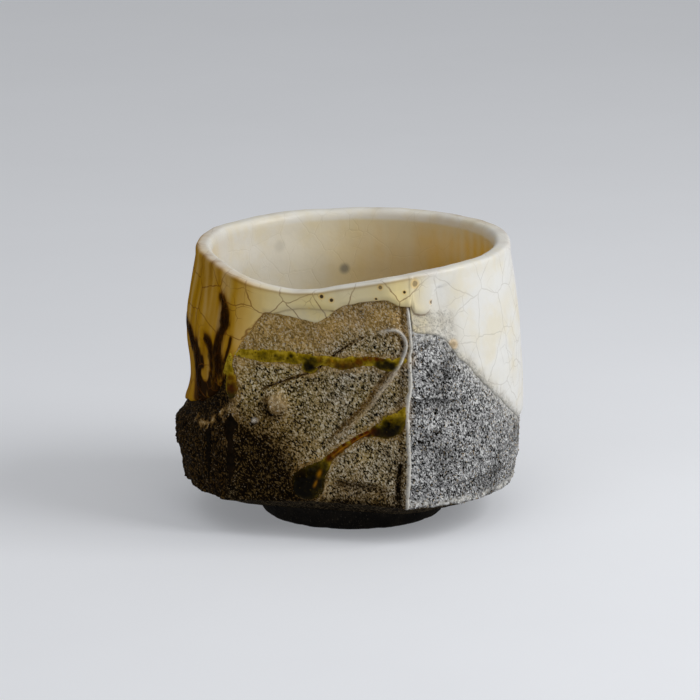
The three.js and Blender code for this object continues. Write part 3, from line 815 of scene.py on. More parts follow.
def newGroup(name, ins, outs):
    group = bpy.data.node_groups.new(name, "ShaderNodeTree")
    for title, kind in ins:
        group.interface.new_socket(title, in_out="INPUT", socket_type=kind)
    for title in outs:
        group.interface.new_socket(title, in_out="OUTPUT", socket_type="NodeSocketFloat")
    return group, group.nodes.new("NodeGroupInput").outputs, group.nodes.new("NodeGroupOutput").inputs


def placeGroup(tree, group, **values):
    node = addNode(tree, "ShaderNodeGroup", node_tree=group)
    for title, value in values.items():
        put(tree, node.inputs[title.replace("_", " ")], value)
    return node.outputs


# Coarse sandy clay: dark iron specks, pale grains, slow mottling and a height for the bump
sandLook = {
    "wander": 0.7, "push": (0.2, 0.2, 0.2), "slant": 0.6, "drawnOut": (1.0, 1.0, 0.6),
    "grains": ((0.26, 0.42), (0.17, 0.33)), "fineSize": 0.3, "fineRough": 0.65, "fineSpan": (0.3, 0.7),
    "fineShare": 0.25, "speckEdge": 0.17, "mottleSize": 2.6,
}


def sandyClayGroup():
    look = sandLook
    group, ins, outs = newGroup(
        "sandyClay",
        [("Place", "NodeSocketVector"), ("Dark Share", "NodeSocketFloat"), ("Pale Share", "NodeSocketFloat")],
        ["Dark", "Pale", "Mottle", "Height"])
    # grains drawn out on a slant
    slanted = addNode(group, "ShaderNodeVectorRotate", rotation_type="Y_AXIS")
    put(group, slanted.inputs["Vector"], pushed(group, ins["Place"], ins["Place"], look["wander"], look["push"]))
    slanted.inputs["Angle"].default_value = look["slant"]
    drawn = addNode(group, "ShaderNodeVectorMath", operation="MULTIPLY")
    put(group, drawn.inputs[0], slanted.outputs[0])
    drawn.inputs[1].default_value = look["drawnOut"]
    tones = []
    for size, part in look["grains"]:
        tones.append(times(group, cellValue(group, cellNode(group, drawn.outputs[0], size)), part))
    fine = noiseNode(group, drawn.outputs[0], look["fineSize"], 3.0, look["fineRough"])["Fac"]
    fine = times(group, spread(group, fine, *look["fineSpan"]), look["fineShare"])
    level = plus(group, plus(group, tones[0], tones[1]), fine)
    darkTop = ins["Dark Share"]
    put(group, outs["Dark"], spread(group, level, darkTop, calc(group, "SUBTRACT", darkTop, look["speckEdge"])))
    paleLow = calc(group, "SUBTRACT", 1.0, ins["Pale Share"])
    put(group, outs["Pale"], spread(group, level, paleLow, plus(group, paleLow, look["speckEdge"])))
    put(group, outs["Mottle"], noiseNode(group, ins["Place"], look["mottleSize"], 4.0)["Fac"])
    put(group, outs["Height"], level)
    return group


# Glaze that has run: slow clouding, small bubbles and a faint wave in the surface
flowLook = {"cloudSize": 1.5, "cloudRough": 0.68, "bubbleShare": 0.3, "bubbleEdge": (0.34, 0.2), "waveSize": 1.1}


def runningGlazeGroup():
    look = flowLook
    group, ins, outs = newGroup(
        "runningGlaze", [("Place", "NodeSocketVector"), ("Bubble Size", "NodeSocketFloat")],
        ["Cloud", "Bubble", "Height"])
    put(group, outs["Cloud"], noiseNode(group, ins["Place"], look["cloudSize"], 5.0, look["cloudRough"])["Fac"])
    bubbles = cellNode(group, ins["Place"], 1.0)
    put(group, bubbles.inputs["Scale"], calc(group, "DIVIDE", 1.0, ins["Bubble Size"]))
    few = calc(group, "LESS_THAN", cellValue(group, bubbles), look["bubbleShare"])
    put(group, outs["Bubble"], times(group, few, spread(group, bubbles.outputs["Distance"], *look["bubbleEdge"])))
    put(group, outs["Height"], noiseNode(group, ins["Place"], look["waveSize"], 2.0)["Fac"])
    return group


sandyClay = sandyClayGroup()
runningGlaze = runningGlazeGroup()

# Bare clay of the wall. Spans are [from low, from high, to low, to high]
clayLook = {
    "frontTan": srgb(150, 130, 76), "rightGrey": srgb(154, 154, 154), "warmBrown": srgb(196, 156, 88),
    "sooty": srgb(12, 7, 0), "darkSpeck": srgb(10, 7, 3), "paleTan": srgb(222, 211, 184),
    "paleGrey": srgb(240, 240, 238), "ridge": srgb(240, 237, 228), "brownTint": (1.0, 0.7, 0.28, 1.0),
    "tanHighlight": srgb(206, 176, 132), "darkShare": 0.5, "paleShare": 0.42,
    "warmShare": 0.7, "tanHighlightShare": 0.6, "mottled": [0.3, 0.7, 0.7, 1.16],
    "paleWhereWarm": [0.2, 1.0, 0.78, 0.5], "darkWhereWarm": [0.2, 1.0, 1.0, 0.5], "darkWhereHighlight": [0.0, 1.0, 1.0, 0.4],
    "sootGrain": [0.25, 0.75, 1.35, 0.88], "sootShare": 0.97, "brownUpTo": 0.9, "bump": [0.22, 0.8],
    "shader": {"Roughness": 0.95, "Specular IOR Level": 0.05},
}


def claySand(tree, place):
    return placeGroup(tree, sandyClay, Place=place, Dark_Share=clayLook["darkShare"], Pale_Share=clayLook["paleShare"])


def bareClayMaterial():
    look = clayLook
    material, tree, shader = newMaterial("bareClay", look["shader"])
    sand = claySand(tree, millimetres(tree))
    cool, warm, tanHighlight, soot, pale = (attributeOf(tree, name) for name in ("cool", "warm", "tanHighlight", "soot", "pale"))
    # lighter tan laid on as painted highlight
    colour = painted(tree, look["frontTan"], (
        (cool, look["rightGrey"]), (times(tree, warm, look["warmShare"]), look["warmBrown"]),
        (times(tree, tanHighlight, look["tanHighlightShare"]), look["tanHighlight"])))
    mottled = spread(tree, sand["Mottle"], *look["mottled"])
    shade = addNode(tree, "ShaderNodeCombineColor")
    for channel in range(3):
        put(tree, shade.inputs[channel], mottled)
    colour = blendColour(tree, 1.0, colour, shade.outputs[0], "MULTIPLY")
    paleGrain = blendColour(tree, cool, look["paleTan"], look["paleGrey"])
    paleShare = times(tree, sand["Pale"], spread(tree, warm, *look["paleWhereWarm"]))
    fewer = times(tree, spread(tree, warm, *look["darkWhereWarm"]), spread(tree, tanHighlight, *look["darkWhereHighlight"]))
    # soot and painted shade darken the clay to a near-black brown
    ragged = times(tree, soot, spread(tree, sand["Height"], *look["sootGrain"]))
    colour = painted(tree, colour, (
        (paleShare, paleGrain), (times(tree, sand["Dark"], fewer), look["darkSpeck"]),
        (times(tree, ragged, look["sootShare"], True), look["sooty"])))
    browned = times(tree, soot, calc(tree, "SUBTRACT", look["brownUpTo"], cool), True)
    colour = blendColour(tree, browned, colour, look["brownTint"], "MULTIPLY")
    # pale dust and edges, with painted highlights on the fins' crests
    colour = blendColour(tree, pale, colour, look["ridge"])
    put(tree, shader.inputs["Base Color"], colour)
    bumpInto(tree, shader, sand["Height"], *look["bump"])
    return material


# Smoked clay of the foot and the underside, its tones darkened further as painted shade for the shadow under the cup
smokedAndShadedLook = {
    "tones": [(0.3, srgb(14, 12, 8)), (0.52, srgb(26, 22, 16)), (0.72, srgb(44, 38, 29))],
    "pale": srgb(96, 88, 76), "dark": srgb(24, 21, 19), "paleStrength": 0.6, "darkStrength": 0.8,
    "darkShare": 0.42, "paleShare": 0.28, "bump": [0.22, 0.8], "shader": {"Roughness": 0.95, "Specular IOR Level": 0.2},
}


def smokedAndShadedClayMaterial():
    look = smokedAndShadedLook
    material, tree, shader = newMaterial("smokedAndShadedClay", look["shader"])
    sand = placeGroup(tree, sandyClay, Place=millimetres(tree), Dark_Share=look["darkShare"],
                      Pale_Share=look["paleShare"])
    colour = colourRamp(tree, sand["Mottle"], look["tones"])
    colour = painted(tree, colour, (
        (times(tree, sand["Pale"], look["paleStrength"]), look["pale"]),
        (times(tree, sand["Dark"], look["darkStrength"]), look["dark"])))
    put(tree, shader.inputs["Base Color"], colour)
    bumpInto(tree, shader, sand["Height"], *look["bump"])
    return material


# White crackle glaze. Pinholes and spots are [angle, height, radius, strength]
whiteLook = {
    "white": srgb(228, 227, 222), "cream": srgb(222, 200, 126), "ochre": srgb(230, 176, 52),
    "honey": srgb(192, 142, 8), "amber": srgb(122, 78, 6), "umber": srgb(36, 20, 4), "crackBrown": srgb(108, 62, 16),
    "crackGrey": srgb(150, 140, 126), "veilClay": srgb(190, 184, 170), "spotGrey": srgb(120, 116, 104),
    "depthShadeTint": (0.73, 0.72, 0.69, 1.0),
    "slowSize": 7.0, "creamCloud": [0.42, 0.7], "creamShare": 0.25, "ochreCloud": [0.2, 0.7, 0.8, 1.0],
    "honeyCloud": [0.25, 0.7, 0.92, 1.0], "shine": [0.1, 0.7, 0.32, 0.02],
    "streakStretch": (0.42, 0.42, 0.09), "streakRough": 0.6, "streakSpan": [0.3, 0.62, 0.5, 1.4],
    "deepStain": [0.4, 1.05],
    "bigCell": 6.6, "smallCell": 3.3, "lineWidth": 0.016, "smallWider": 1.2, "lineOut": 1.6, "lineIn": 0.3,
    "crackWander": 3.0, "crackPush": (1.6, 1.6, 0.0), "patchSize": 9.0, "patchSpan": [0.5, 0.62],
    "thinSize": 1.6, "thinRough": 0.65, "thinSpan": [0.38, 0.6, 0.3, 1.0], "thinShare": 0.65,
    "clayThrough": [0.45, 1.0], "clayShare": 0.3, "rimLineShare": 0.95,
    "pinholes": [
        [-12.1, 47.8, 0.38, 0.95], [-8.2, 47.2, 0.36, 0.95], [-17.1, 45.2, 0.24, 0.95], [8.4, 47.9, 0.24, 0.95],
        [9.8, 50.1, 0.38, 0.7], [18.2, 49.1, 0.28, 0.95], [22.1, 50.5, 0.58, 0.5], [28.2, 46.8, 0.34, 0.8],
        [36.3, 38.3, 0.7, 0.3]],
    "pinholeOut": 0.8, "holeOut": 1.15, "holeIn": 0.75, "wallOut": 2.1, "wallIn": 1.1, "wallShare": 0.35,
    "insideSpots": [[183.4, 41.0, 1.5, 0.8], [212, 46.4, 1.7, 0.2]], "spotIn": 0.6, "spotCore": 0.3,
    "roughSpan": [0.3, 0.7, 0.16, 0.3], "thinRoughness": 0.6, "crackDent": 0.12, "rippleSize": 2.2, "ripple": 0.5,
    "bump": [0.22, 0.6], "shader": {"IOR": 1.5, "Specular IOR Level": 0.0, "Coat Roughness": 0.1},
}


# Crackle in two sizes of cell, the small one in patches
def crackleLines(tree, place):
    look = whiteLook
    skinMap = addNode(tree, "ShaderNodeUVMap", uv_map="skinMap").outputs[0]
    wandering = pushed(tree, skinMap, place, look["crackWander"], look["crackPush"])
    lines = []
    for size, wider in ((look["bigCell"], 1.0), (look["smallCell"], look["smallWider"])):
        width = look["lineWidth"] * wider
        cells = cellNode(tree, wandering, size, "DISTANCE_TO_EDGE")
        cells.voronoi_dimensions = "2D"
        lines.append(spread(tree, cells.outputs["Distance"], width * look["lineOut"], width * look["lineIn"]))
    patchy = spread(tree, noiseNode(tree, place, look["patchSize"], 1.0)["Fac"], *look["patchSpan"])
    return calc(tree, "MAXIMUM", lines[0], times(tree, lines[1], patchy))


def whiteGlazeMaterial():
    look = whiteLook
    material, tree, shader = newMaterial("whiteGlaze", look["shader"])
    place = millimetres(tree)
    slow = noiseNode(tree, place, look["slowSize"], 3.0)["Fac"]
    names = ("stain", "ochre", "cream", "veil", "honey")
    stain, ochre, cream, veil, honey = (attributeOf(tree, name) for name in names)
    colour = painted(tree, look["white"], (
        (cream, look["cream"]),
        (times(tree, spread(tree, slow, *look["creamCloud"]), look["creamShare"]), look["cream"]),
        (times(tree, ochre, spread(tree, slow, *look["ochreCloud"])), look["ochre"]),
        (times(tree, honey, spread(tree, slow, *look["honeyCloud"])), look["honey"])))
    put(tree, shader.inputs["Coat Weight"], spread(tree, plus(tree, honey, stain), *look["shine"]))
    # stain in streaks that run down
    stretched = addNode(tree, "ShaderNodeMapping")
    stretched.inputs["Scale"].default_value = look["streakStretch"]
    put(tree, stretched.inputs[0], place)
    streak = noiseNode(tree, stretched.outputs[0], 1.0, 4.0, look["streakRough"])["Fac"]
    ragged = times(tree, stain, spread(tree, streak, *look["streakSpan"]), True)
    deep = spread(tree, times(tree, ragged, stain), *look["deepStain"])
    colour = painted(tree, colour, ((ragged, look["amber"]), (deep, look["umber"])))
    # painted shade, darker deeper inside the cup
    colour = blendColour(tree, attributeOf(tree, "deepGrey"), colour, look["depthShadeTint"], "MULTIPLY")
    crackle = crackleLines(tree, place)
    lineColour = blendColour(tree, attributeOf(tree, "brownLines"), look["crackGrey"], look["crackBrown"])
    colour = blendColour(tree, times(tree, crackle, attributeOf(tree, "lines")), colour, lineColour)
    # thin veil, with the clay's specks showing
    thinCloud = noiseNode(tree, place, look["thinSize"], 4.0, look["thinRough"])["Fac"]
    thin = times(tree, veil, spread(tree, thinCloud, *look["thinSpan"]))
    showing = times(tree, spread(tree, veil, *look["clayThrough"]), claySand(tree, place)["Dark"])
    colour = painted(tree, colour, (
        (times(tree, thin, look["thinShare"]), look["veilClay"]),
        (times(tree, showing, look["clayShare"]), clayLook["darkSpeck"]),
        (times(tree, attributeOf(tree, "rimLine"), look["rimLineShare"]), look["crackBrown"])))
    # pinholes
    holes, walls = 0.0, 0.0
    for angle, height, radius, strength in look["pinholes"]:
        gap = distanceFrom(tree, place, angle, bodyRadius(angle, height) + look["pinholeOut"], height)
        hole = spread(tree, gap, radius * look["holeOut"], radius * look["holeIn"], 0.0, strength)
        wall = spread(tree, gap, radius * look["wallOut"], radius * look["wallIn"])
        holes = calc(tree, "MAXIMUM", holes, hole)
        walls = calc(tree, "MAXIMUM", walls, wall)
    colour = painted(tree, colour, ((times(tree, walls, look["wallShare"]), look["ochre"]), (holes, look["umber"])))
    for angle, height, radius, strength in look["insideSpots"]:
        gap = distanceFrom(tree, place, angle, insideRadius(angle, height) - look["spotIn"], height)
        spot = spread(tree, gap, radius, radius * look["spotCore"], 0.0, strength)
        colour = blendColour(tree, spot, colour, look["spotGrey"])
    put(tree, shader.inputs["Base Color"], colour)
    rough = calc(tree, "MAXIMUM", spread(tree, slow, *look["roughSpan"]), times(tree, thin, look["thinRoughness"]))
    put(tree, shader.inputs["Roughness"], rough)
    dents = plus(tree, times(tree, crackle, look["crackDent"]), holes)
    ripple = times(tree, noiseNode(tree, place, look["rippleSize"], 2.0)["Fac"], look["ripple"])
    bumpInto(tree, shader, calc(tree, "SUBTRACT", ripple, dents), *look["bump"])
    return material


# Runs of amber, brown and dark glaze
runLooks = {
    "amber_glaze": {
        "thin": srgb(178, 150, 40), "full": srgb(124, 102, 4), "red": srgb(84, 27, 2), "edge": srgb(120, 98, 12),
        "deep": srgb(9, 6, 1), "bubble": srgb(60, 46, 4), "glint": srgb(186, 122, 14),
        "rough": 0.08, "gloss": 0.07, "solid": 0.42, "grainy": 0.3},
    "brown_glaze": {
        "thin": srgb(74, 44, 8), "full": srgb(44, 23, 5), "red": srgb(70, 30, 8), "edge": srgb(66, 38, 5),
        "deep": srgb(18, 9, 3), "bubble": srgb(30, 16, 5), "glint": srgb(150, 112, 40),
        "rough": 0.1, "gloss": 0.03, "solid": 1.7, "grainy": 0.0},
    "dark_glaze": {
        "thin": srgb(26, 17, 7), "full": srgb(14, 9, 4), "red": srgb(40, 18, 7), "edge": srgb(34, 24, 11),
        "deep": srgb(9, 6, 3), "bubble": srgb(14, 10, 6), "glint": srgb(70, 52, 24),
        "rough": 0.15, "gloss": 0.03, "solid": 0.7, "grainy": 0.2},
}
# what the three glazes have in common
runShare = {
    "bubbleSize": 0.6, "bubbleShare": 0.7, "depthStops": (0.08, 0.5, 1.0), "depthCloud": [0.3, 0.7, -0.32, 0.32],
    "edge": [0.0, 0.6, 0.85, 0.0], "thinCloud": [0.3, 0.7, -0.2, 0.2], "grain": [0.3, 0.7],
    "redCloud": [0.35, 0.6, 0.85, 1.0], "darkCloud": [0.3, 0.6, 0.96, 1.0], "bump": [0.3, 0.6],
}


def runMaterial(name, look):
    material, tree, shader = newMaterial(name, {
        "Roughness": 0.5, "Specular IOR Level": 0.0, "Coat Weight": look["gloss"], "Coat Roughness": look["rough"]})
    place = millimetres(tree)
    flow = placeGroup(tree, runningGlaze, Place=place, Bubble_Size=runShare["bubbleSize"])
    sand = claySand(tree, place)
    depth, dark, red, middle = (attributeOf(tree, title) for title in ("depth", "dark", "red", "middle"))
    clouded = plus(tree, depth, spread(tree, flow["Cloud"], *runShare["depthCloud"]))
    colour = colourRamp(tree, clouded, list(zip(runShare["depthStops"], (look["thin"], look["full"], look["deep"]))))
    # the clay shows at a thin edge
    edge = spread(tree, middle, *runShare["edge"])
    thinning = plus(tree, middle, spread(tree, flow["Cloud"], *runShare["thinCloud"]))
    grain = spread(tree, sand["Height"], *runShare["grain"], -look["grainy"], look["grainy"])
    put(tree, shader.inputs["Alpha"], spread(tree, plus(tree, thinning, grain), 0.0, look["solid"]))
    # the last colour is a fin of clay that stands through, in the clay's pale colour with the fins' painted highlight
    colour = painted(tree, colour, (
        (edge, look["edge"]), (times(tree, edge, sand["Dark"]), clayLook["darkSpeck"]),
        (times(tree, red, spread(tree, flow["Cloud"], *runShare["redCloud"])), look["red"]),
        (times(tree, dark, spread(tree, flow["Cloud"], *runShare["darkCloud"])), look["deep"]),
        (times(tree, flow["Bubble"], runShare["bubbleShare"]), look["bubble"]),
        (attributeOf(tree, "glint"), look["glint"]), (attributeOf(tree, "fin"), clayLook["ridge"])))
    put(tree, shader.inputs["Base Color"], colour)
    bumpInto(tree, shader, flow["Height"], *runShare["bump"])
    return material


bareClay = bareClayMaterial()
smokedAndShadedClay = smokedAndShadedClayMaterial()
whiteGlaze = whiteGlazeMaterial()
runMaterials = {slot: runMaterial(slot.replace("_g", "G"), look) for slot, look in runLooks.items()}
print("materials made")

# Columns round the cup, closer together in front and beside the seam
columns = {
    "count": 560, "samples": 7201, "backDensity": 0.5, "backFrom": [88, 104], "seamDensity": 1.2, "seamSpread": 2.2,
}


def columnAngles():
    fine = np.linspace(-180, 180, columns["samples"])
    inFront = 1 - smoothStep(np.abs(fine), *columns["backFrom"])
    density = columns["backDensity"] + (1 - columns["backDensity"]) * inFront
    density += columns["seamDensity"] * hump(fine, seam["angle"], columns["seamSpread"])
    total = np.concatenate([[0], np.cumsum((density[1:] + density[:-1]) / 2)])
    return np.interp(np.arange(columns["count"]) / columns["count"], total / total[-1], fine)


angles = columnAngles()


# The columns' angles for every row of a grid
def allRound(grid):
    return np.broadcast_to(angles, grid.shape)


def shares(count, low=0.0, high=1.0):
    return np.linspace(low, high, count)[:, None]


# Turns over a rounded lip, without its two ends
def halfTurn(count):
    return np.pi * np.arange(1, count + 1)[:, None] / (count + 1)


# From the inner (-1) to the outer radius (1)
def acrossLip(inside, outside, share):
    return (inside + outside) / 2 + (outside - inside) / 2 * share


# Rows of the wall: underside, bare outside, outside under the glaze, lip and inside
wallRows = {
    "underside": 8, "bare": 126, "covered": 10, "lip": 6, "inside": 12, "noiseRadius": 30.0,
    "tuck": 1.3, "belowTop": 0.3, "sunk": 0.4, "coverEdge": [-0.05, 0.55],
    "flushReach": 0.8, "flatter": 0.85, "flushLift": 0.1, "gritBelow": 0.5,
    "wobble": [[0.3, 3.0, 61]], "wobbleFade": 25.0,
    "underRough": [[1.0, 2.0, 62]], "underLift": 0.25, "underSoot": 0.95, "underSootCloud": 0.1, "underCool": 0.3,
    "lipDrop": 0.3, "insideSunk": 0.25, "insideSunkTo": [0.8, 0.95],
}


def buildWall():
    rows = wallRows
    footZ = cup["footHeight"] + cup["slipJoint"]
    edge, white = edgeAt(angles), whiteEdgeAt(angles)
    top = rimAt(angles) - cup["lipRounding"]
    tuckTop = np.minimum(white + rows["tuck"], top - rows["belowTop"])
    names = clayMarkNames + ("bare",)
    parts, marks = [], []

    def addRows(radius, height, **given):
        parts.append(placeAt(allRound(height), radius, height))
        marks.append({name: given.get(name, 0 * height) for name in names})

    share = shares(rows["bare"])
    bareHeight = edge + (tuckTop - edge) * share
    around = allRound(bareHeight)
    lift, bareMarks = clayRelief(around, bareHeight)
    cover = smoothStep(bareHeight - white, *rows["coverEdge"])
    flush = 1 - smoothStep(white - bareHeight, 0.0, rows["flushReach"])
    lift = lift * (1 - rows["flatter"] * flush) + rows["flushLift"] * flush
    lift = lift * (1 - cover) - rows["sunk"] * cover
    bareMarks["bare"] = (bareHeight < white - rows["gritBelow"]) * 1.0
    bareRadius = bodyRadius(around, bareHeight) + lift
    wobble = layered(placeAt(around, rows["noiseRadius"] + 0 * around, bareHeight), rows["wobble"])
    wobble = wobble * np.exp(-share * rows["wobbleFade"])
    # underside, from the floor out to the lower edge
    share = np.linspace(0, 1, rows["underside"], endpoint=False)[:, None]
    inner = insideRadius(angles, footZ + 0 * angles)
    underRadius = inner + (bareRadius[0] - inner) * share
    underHeight = footZ + (bareHeight[0] + wobble[0] - footZ) * share
    rough = layered(placeAt(allRound(underRadius), underRadius, underHeight), rows["underRough"])
    underHeight = underHeight + rows["underLift"] * rough * np.sin(np.pi * share)
    addRows(underRadius, underHeight, soot=rows["underSoot"] + rows["underSootCloud"] * rough,
            cool=rows["underCool"] + 0 * underHeight)
    addRows(bareRadius, bareHeight + wobble, **bareMarks)
    height = tuckTop + (top - tuckTop) * shares(rows["covered"] + 1)[1:]
    addRows(bodyRadius(allRound(height), height) - rows["sunk"], height)
    turn = halfTurn(rows["lip"])
    inside, outside = insideRadius(angles, top) + rows["insideSunk"], bodyRadius(angles, top) - rows["sunk"]
    lipHeight = top + (cup["lipRounding"] - rows["lipDrop"]) * np.sin(turn)
    addRows(acrossLip(inside, outside, np.cos(turn)), lipHeight)
    share = shares(rows["inside"])
    height = top + (footZ - top) * share
    sunk = rows["insideSunk"] * (1 - smoothStep(share, *rows["insideSunkTo"]))
    addRows(insideRadius(allRound(height), height) + sunk, height)
    allMarks = {name: np.vstack([mark[name] for mark in marks]) for name in names}
    return meshFromRows("claySlab", np.vstack(parts), True, allMarks, bareClay)


claySlab = dress(buildWall(), "bare_clay", "wall_slab")

# Grains of grit that stand in the bare clay
grit = {
    "perSquareMillimetre": 0.7, "radius": 0.19, "seed": 7, "roundness": 1,
    "smallest": (0.45, 0.45, 0.35), "largest": (1.15, 1.15, 0.75), "fullTurn": (6.28, 6.28, 6.28),
    "tones": [(0.0, srgb(30, 27, 22)), (0.4, srgb(58, 50, 40)), (0.5, srgb(140, 128, 106)), (0.8, srgb(172, 162, 142)),
              (1.0, srgb(214, 207, 192))],
    "sootShare": 0.94, "cloudSize": 0.3, "warmCloud": [0.35, 0.75, 0.0, 0.35], "bump": [0.08, 0.6],
    "shader": {"Roughness": 0.75},
}


def gritMaterial():
    material, tree, shader = newMaterial("claySand", grit["shader"])
    place = millimetres(tree)
    cloud = noiseNode(tree, place, grit["cloudSize"], 2.0)["Fac"]
    # the grains are darkened too where the clay has soot and painted shade
    colour = painted(tree, colourRamp(tree, attributeOf(tree, "tone"), grit["tones"]), (
        (times(tree, attributeOf(tree, "sootOn"), grit["sootShare"]), clayLook["sooty"]),
        (spread(tree, cloud, *grit["warmCloud"]), clayLook["warmBrown"])))
    put(tree, shader.inputs["Base Color"], colour)
    bumpInto(tree, shader, cloud, *grit["bump"])
    return material


def gritTree():
    tree = bpy.data.node_groups.new("gritScatter", "GeometryNodeTree")
    tree.interface.new_socket("Geometry", in_out="INPUT", socket_type="NodeSocketGeometry")
    sockets = {}
    for title, kind in (("Density", "NodeSocketFloat"), ("Grain Radius", "NodeSocketFloat"), ("Seed", "NodeSocketInt")):
        sockets[title] = tree.interface.new_socket(title, in_out="INPUT", socket_type=kind).identifier
    tree.interface.new_socket("Geometry", in_out="OUTPUT", socket_type="NodeSocketGeometry")
    ins, outs = tree.nodes.new("NodeGroupInput").outputs, tree.nodes.new("NodeGroupOutput").inputs
    bare = addNode(tree, "GeometryNodeInputNamedAttribute", data_type="FLOAT")
    bare.inputs["Name"].default_value = "bare"
    scatter = addNode(tree, "GeometryNodeDistributePointsOnFaces", distribute_method="RANDOM")
    grain = addNode(tree, "GeometryNodeMeshIcoSphere")
    grain.inputs["Subdivisions"].default_value = grit["roundness"]
    size, turn = (addNode(tree, "FunctionNodeRandomValue", data_type="FLOAT_VECTOR") for _ in range(2))
    size.inputs[0].default_value = grit["smallest"]
    size.inputs[1].default_value = grit["largest"]
    turn.inputs[1].default_value = grit["fullTurn"]
    spots = addNode(tree, "GeometryNodeInstanceOnPoints")
    tone = addNode(tree, "FunctionNodeRandomValue", data_type="FLOAT")
    keep = addNode(tree, "GeometryNodeStoreNamedAttribute", data_type="FLOAT", domain="INSTANCE")
    keep.inputs["Name"].default_value = "tone"
    real = addNode(tree, "GeometryNodeRealizeInstances")
    paint = addNode(tree, "GeometryNodeSetMaterial")
    paint.inputs["Material"].default_value = gritMaterial()
    for source, target in (
            (ins["Geometry"], scatter.inputs["Mesh"]),
            (times(tree, bare.outputs[0], ins["Density"]), scatter.inputs["Density"]),
            (ins["Seed"], scatter.inputs["Seed"]), (ins["Seed"], size.inputs["Seed"]),
            (ins["Grain Radius"], grain.inputs["Radius"]),
            (scatter.outputs["Points"], spots.inputs["Points"]), (grain.outputs["Mesh"], spots.inputs["Instance"]),
            (size.outputs[0], spots.inputs["Scale"]), (turn.outputs[0], spots.inputs["Rotation"]),
            (spots.outputs[0], keep.inputs["Geometry"]), (tone.outputs[1], keep.inputs["Value"]),
            (keep.outputs[0], real.inputs[0]), (real.outputs[0], paint.inputs["Geometry"]),
            (paint.outputs[0], outs["Geometry"])):
        tree.links.new(source, target)
    return tree, sockets


def buildGrit():
    tree, sockets = gritTree()
    carrier = linked(bpy.data.objects.new("gritCarrier", claySlab.data.copy()))
    modifier = carrier.modifiers.new("grit", "NODES")
    modifier.node_group = tree
    modifier[sockets["Density"]] = grit["perSquareMillimetre"] / mm ** 2
    modifier[sockets["Grain Radius"]] = grit["radius"] * mm
    modifier[sockets["Seed"]] = grit["seed"]
    graph = bpy.context.evaluated_depsgraph_get()
    mesh = bpy.data.meshes.new_from_object(carrier.evaluated_get(graph), depsgraph=graph)
    bpy.data.objects.remove(carrier)
    mesh.name = "clayGrit"
    spots = np.zeros(len(mesh.vertices) * 3)
    mesh.vertices.foreach_get("co", spots)
    spots = (spots.reshape(-1, 3) - cupAxis) / mm
    addMark(mesh, "sootOn", clayRelief(angleOf(spots), spots[:, 2])[1]["soot"])
    return linked(bpy.data.objects.new("clayGrit", mesh))


dress(buildGrit(), "bare_clay")

# Skin of white glaze: outside, lip, inside and floor, and back underneath
skinRows = {
    "outside": 74, "lip": 18, "inside": 26, "cove": 8, "floor": 12, "underFloor": 4, "under": 10, "underLip": 4,
    "inset": 0.3, "crowding": 1.6, "squareOut": 0.42, "squareIn": 0.75,
    "noiseRadius": 30.0, "lipNoiseHeight": 50.0, "lipWave": [[0.22, 8.0, 73], [0.12, 3.4, 79]],
    "wave": [[0.18, 8.0, 75], [0.08, [6.0, 6.0, 2.2], 76]], "waveFrom": [0.0, 0.1], "waveTo": [0.9, 1.0],
    "waveEnd": 0.7, "floorWave": [[0.15, 6.0, 78]], "underThinner": 0.75, "underSkin": 0.5, "underLipDrop": 0.4,
    "underFrom": 0.1, "underCove": [0.0, 0.2], "underTo": 0.97, "underGap": 0.1, "floorMapShift": 300.0,
}
skinMarkNames = ("stain", "honey", "ochre", "cream", "veil", "brownLines", "lines", "rimLine", "deepGrey")

# What colours the glaze outside, with a golden tongue and a dark streak on the left as [angle, height]
outsideTint = {
    "goldTongue": [[-63.8, 36.5], [-61.2, 35.0], [-59.2, 33.2], [-58.6, 31.8], [-60.2, 30.2]],
    "arrisStreak": [[-45.8, 38.8], [-46.4, 37.0], [-48.0, 34.4], [-49.4, 32.0], [-50.1, 29.6]], "pathSteps": 24,
    "cloud": [[1.0, [5.0, 5.0, 12.0], 71]], "strands": [[1.0, [2.0, 2.0, 11.0], 70]],
    "border": [[11.0, [6.0, 6.0, 20.0], 67], [7.0, [1.6, 1.6, 9.0], 66]],
    "leftFrom": [-128, -92], "leftTo": [-47.5, -43], "yellowTo": [-48, -26], "frontSpan": [-52, -44, 15, 33],
    "backFrom": [112, 135],
    "tongueReach": 5.0, "tongueRagged": [[0.7, 1.7, 69]], "tongueEdge": [0.7, 1.9],
    "behindTo": [-73, -66], "rearTop": 34.5, "rearEdge": [0, 2.5],
    "stainTop": 37.0, "stainRagged": 1.6, "stainEdge": [-1.0, 3.0], "tongueClean": 0.9, "behindClean": 0.85,
    "stain": 0.08, "cloudStain": 0.3, "strandStain": 0.5,
    "runReach": 6.0, "runCore": 0.6, "runSpread": 2.0, "runCloud": 1.2, "rearClean": 0.7,
    "streakReach": 4.0, "streakEdge": [0.1, 0.9], "runStain": 0.95, "runTongue": 0.6,
    "frontCream": 0.75, "leftCream": 0.6, "backCream": 0.35, "creamCloud": [[0.22, 7.0, 72]],
    "rimLineSpan": [-44, -42, 28.6, 30], "rimLineFaint": 0.25, "rimLineFrom": [-37, -34], "rimLineWidth": 0.2,
    "rimLineVeil": 0.3, "rimLineBand": 0.7, "rimLineBase": 0.85, "rimLineRagged": [[0.6, 1.4, 68]],
    "honey": 0.8, "honeyDrop": 0.012, "honeyCloud": 0.25, "honeyStrands": 0.4, "honeySide": 0.3,
    "honeySideAt": [-92, 16], "lines": 0.25, "brownLines": 0.43,
}


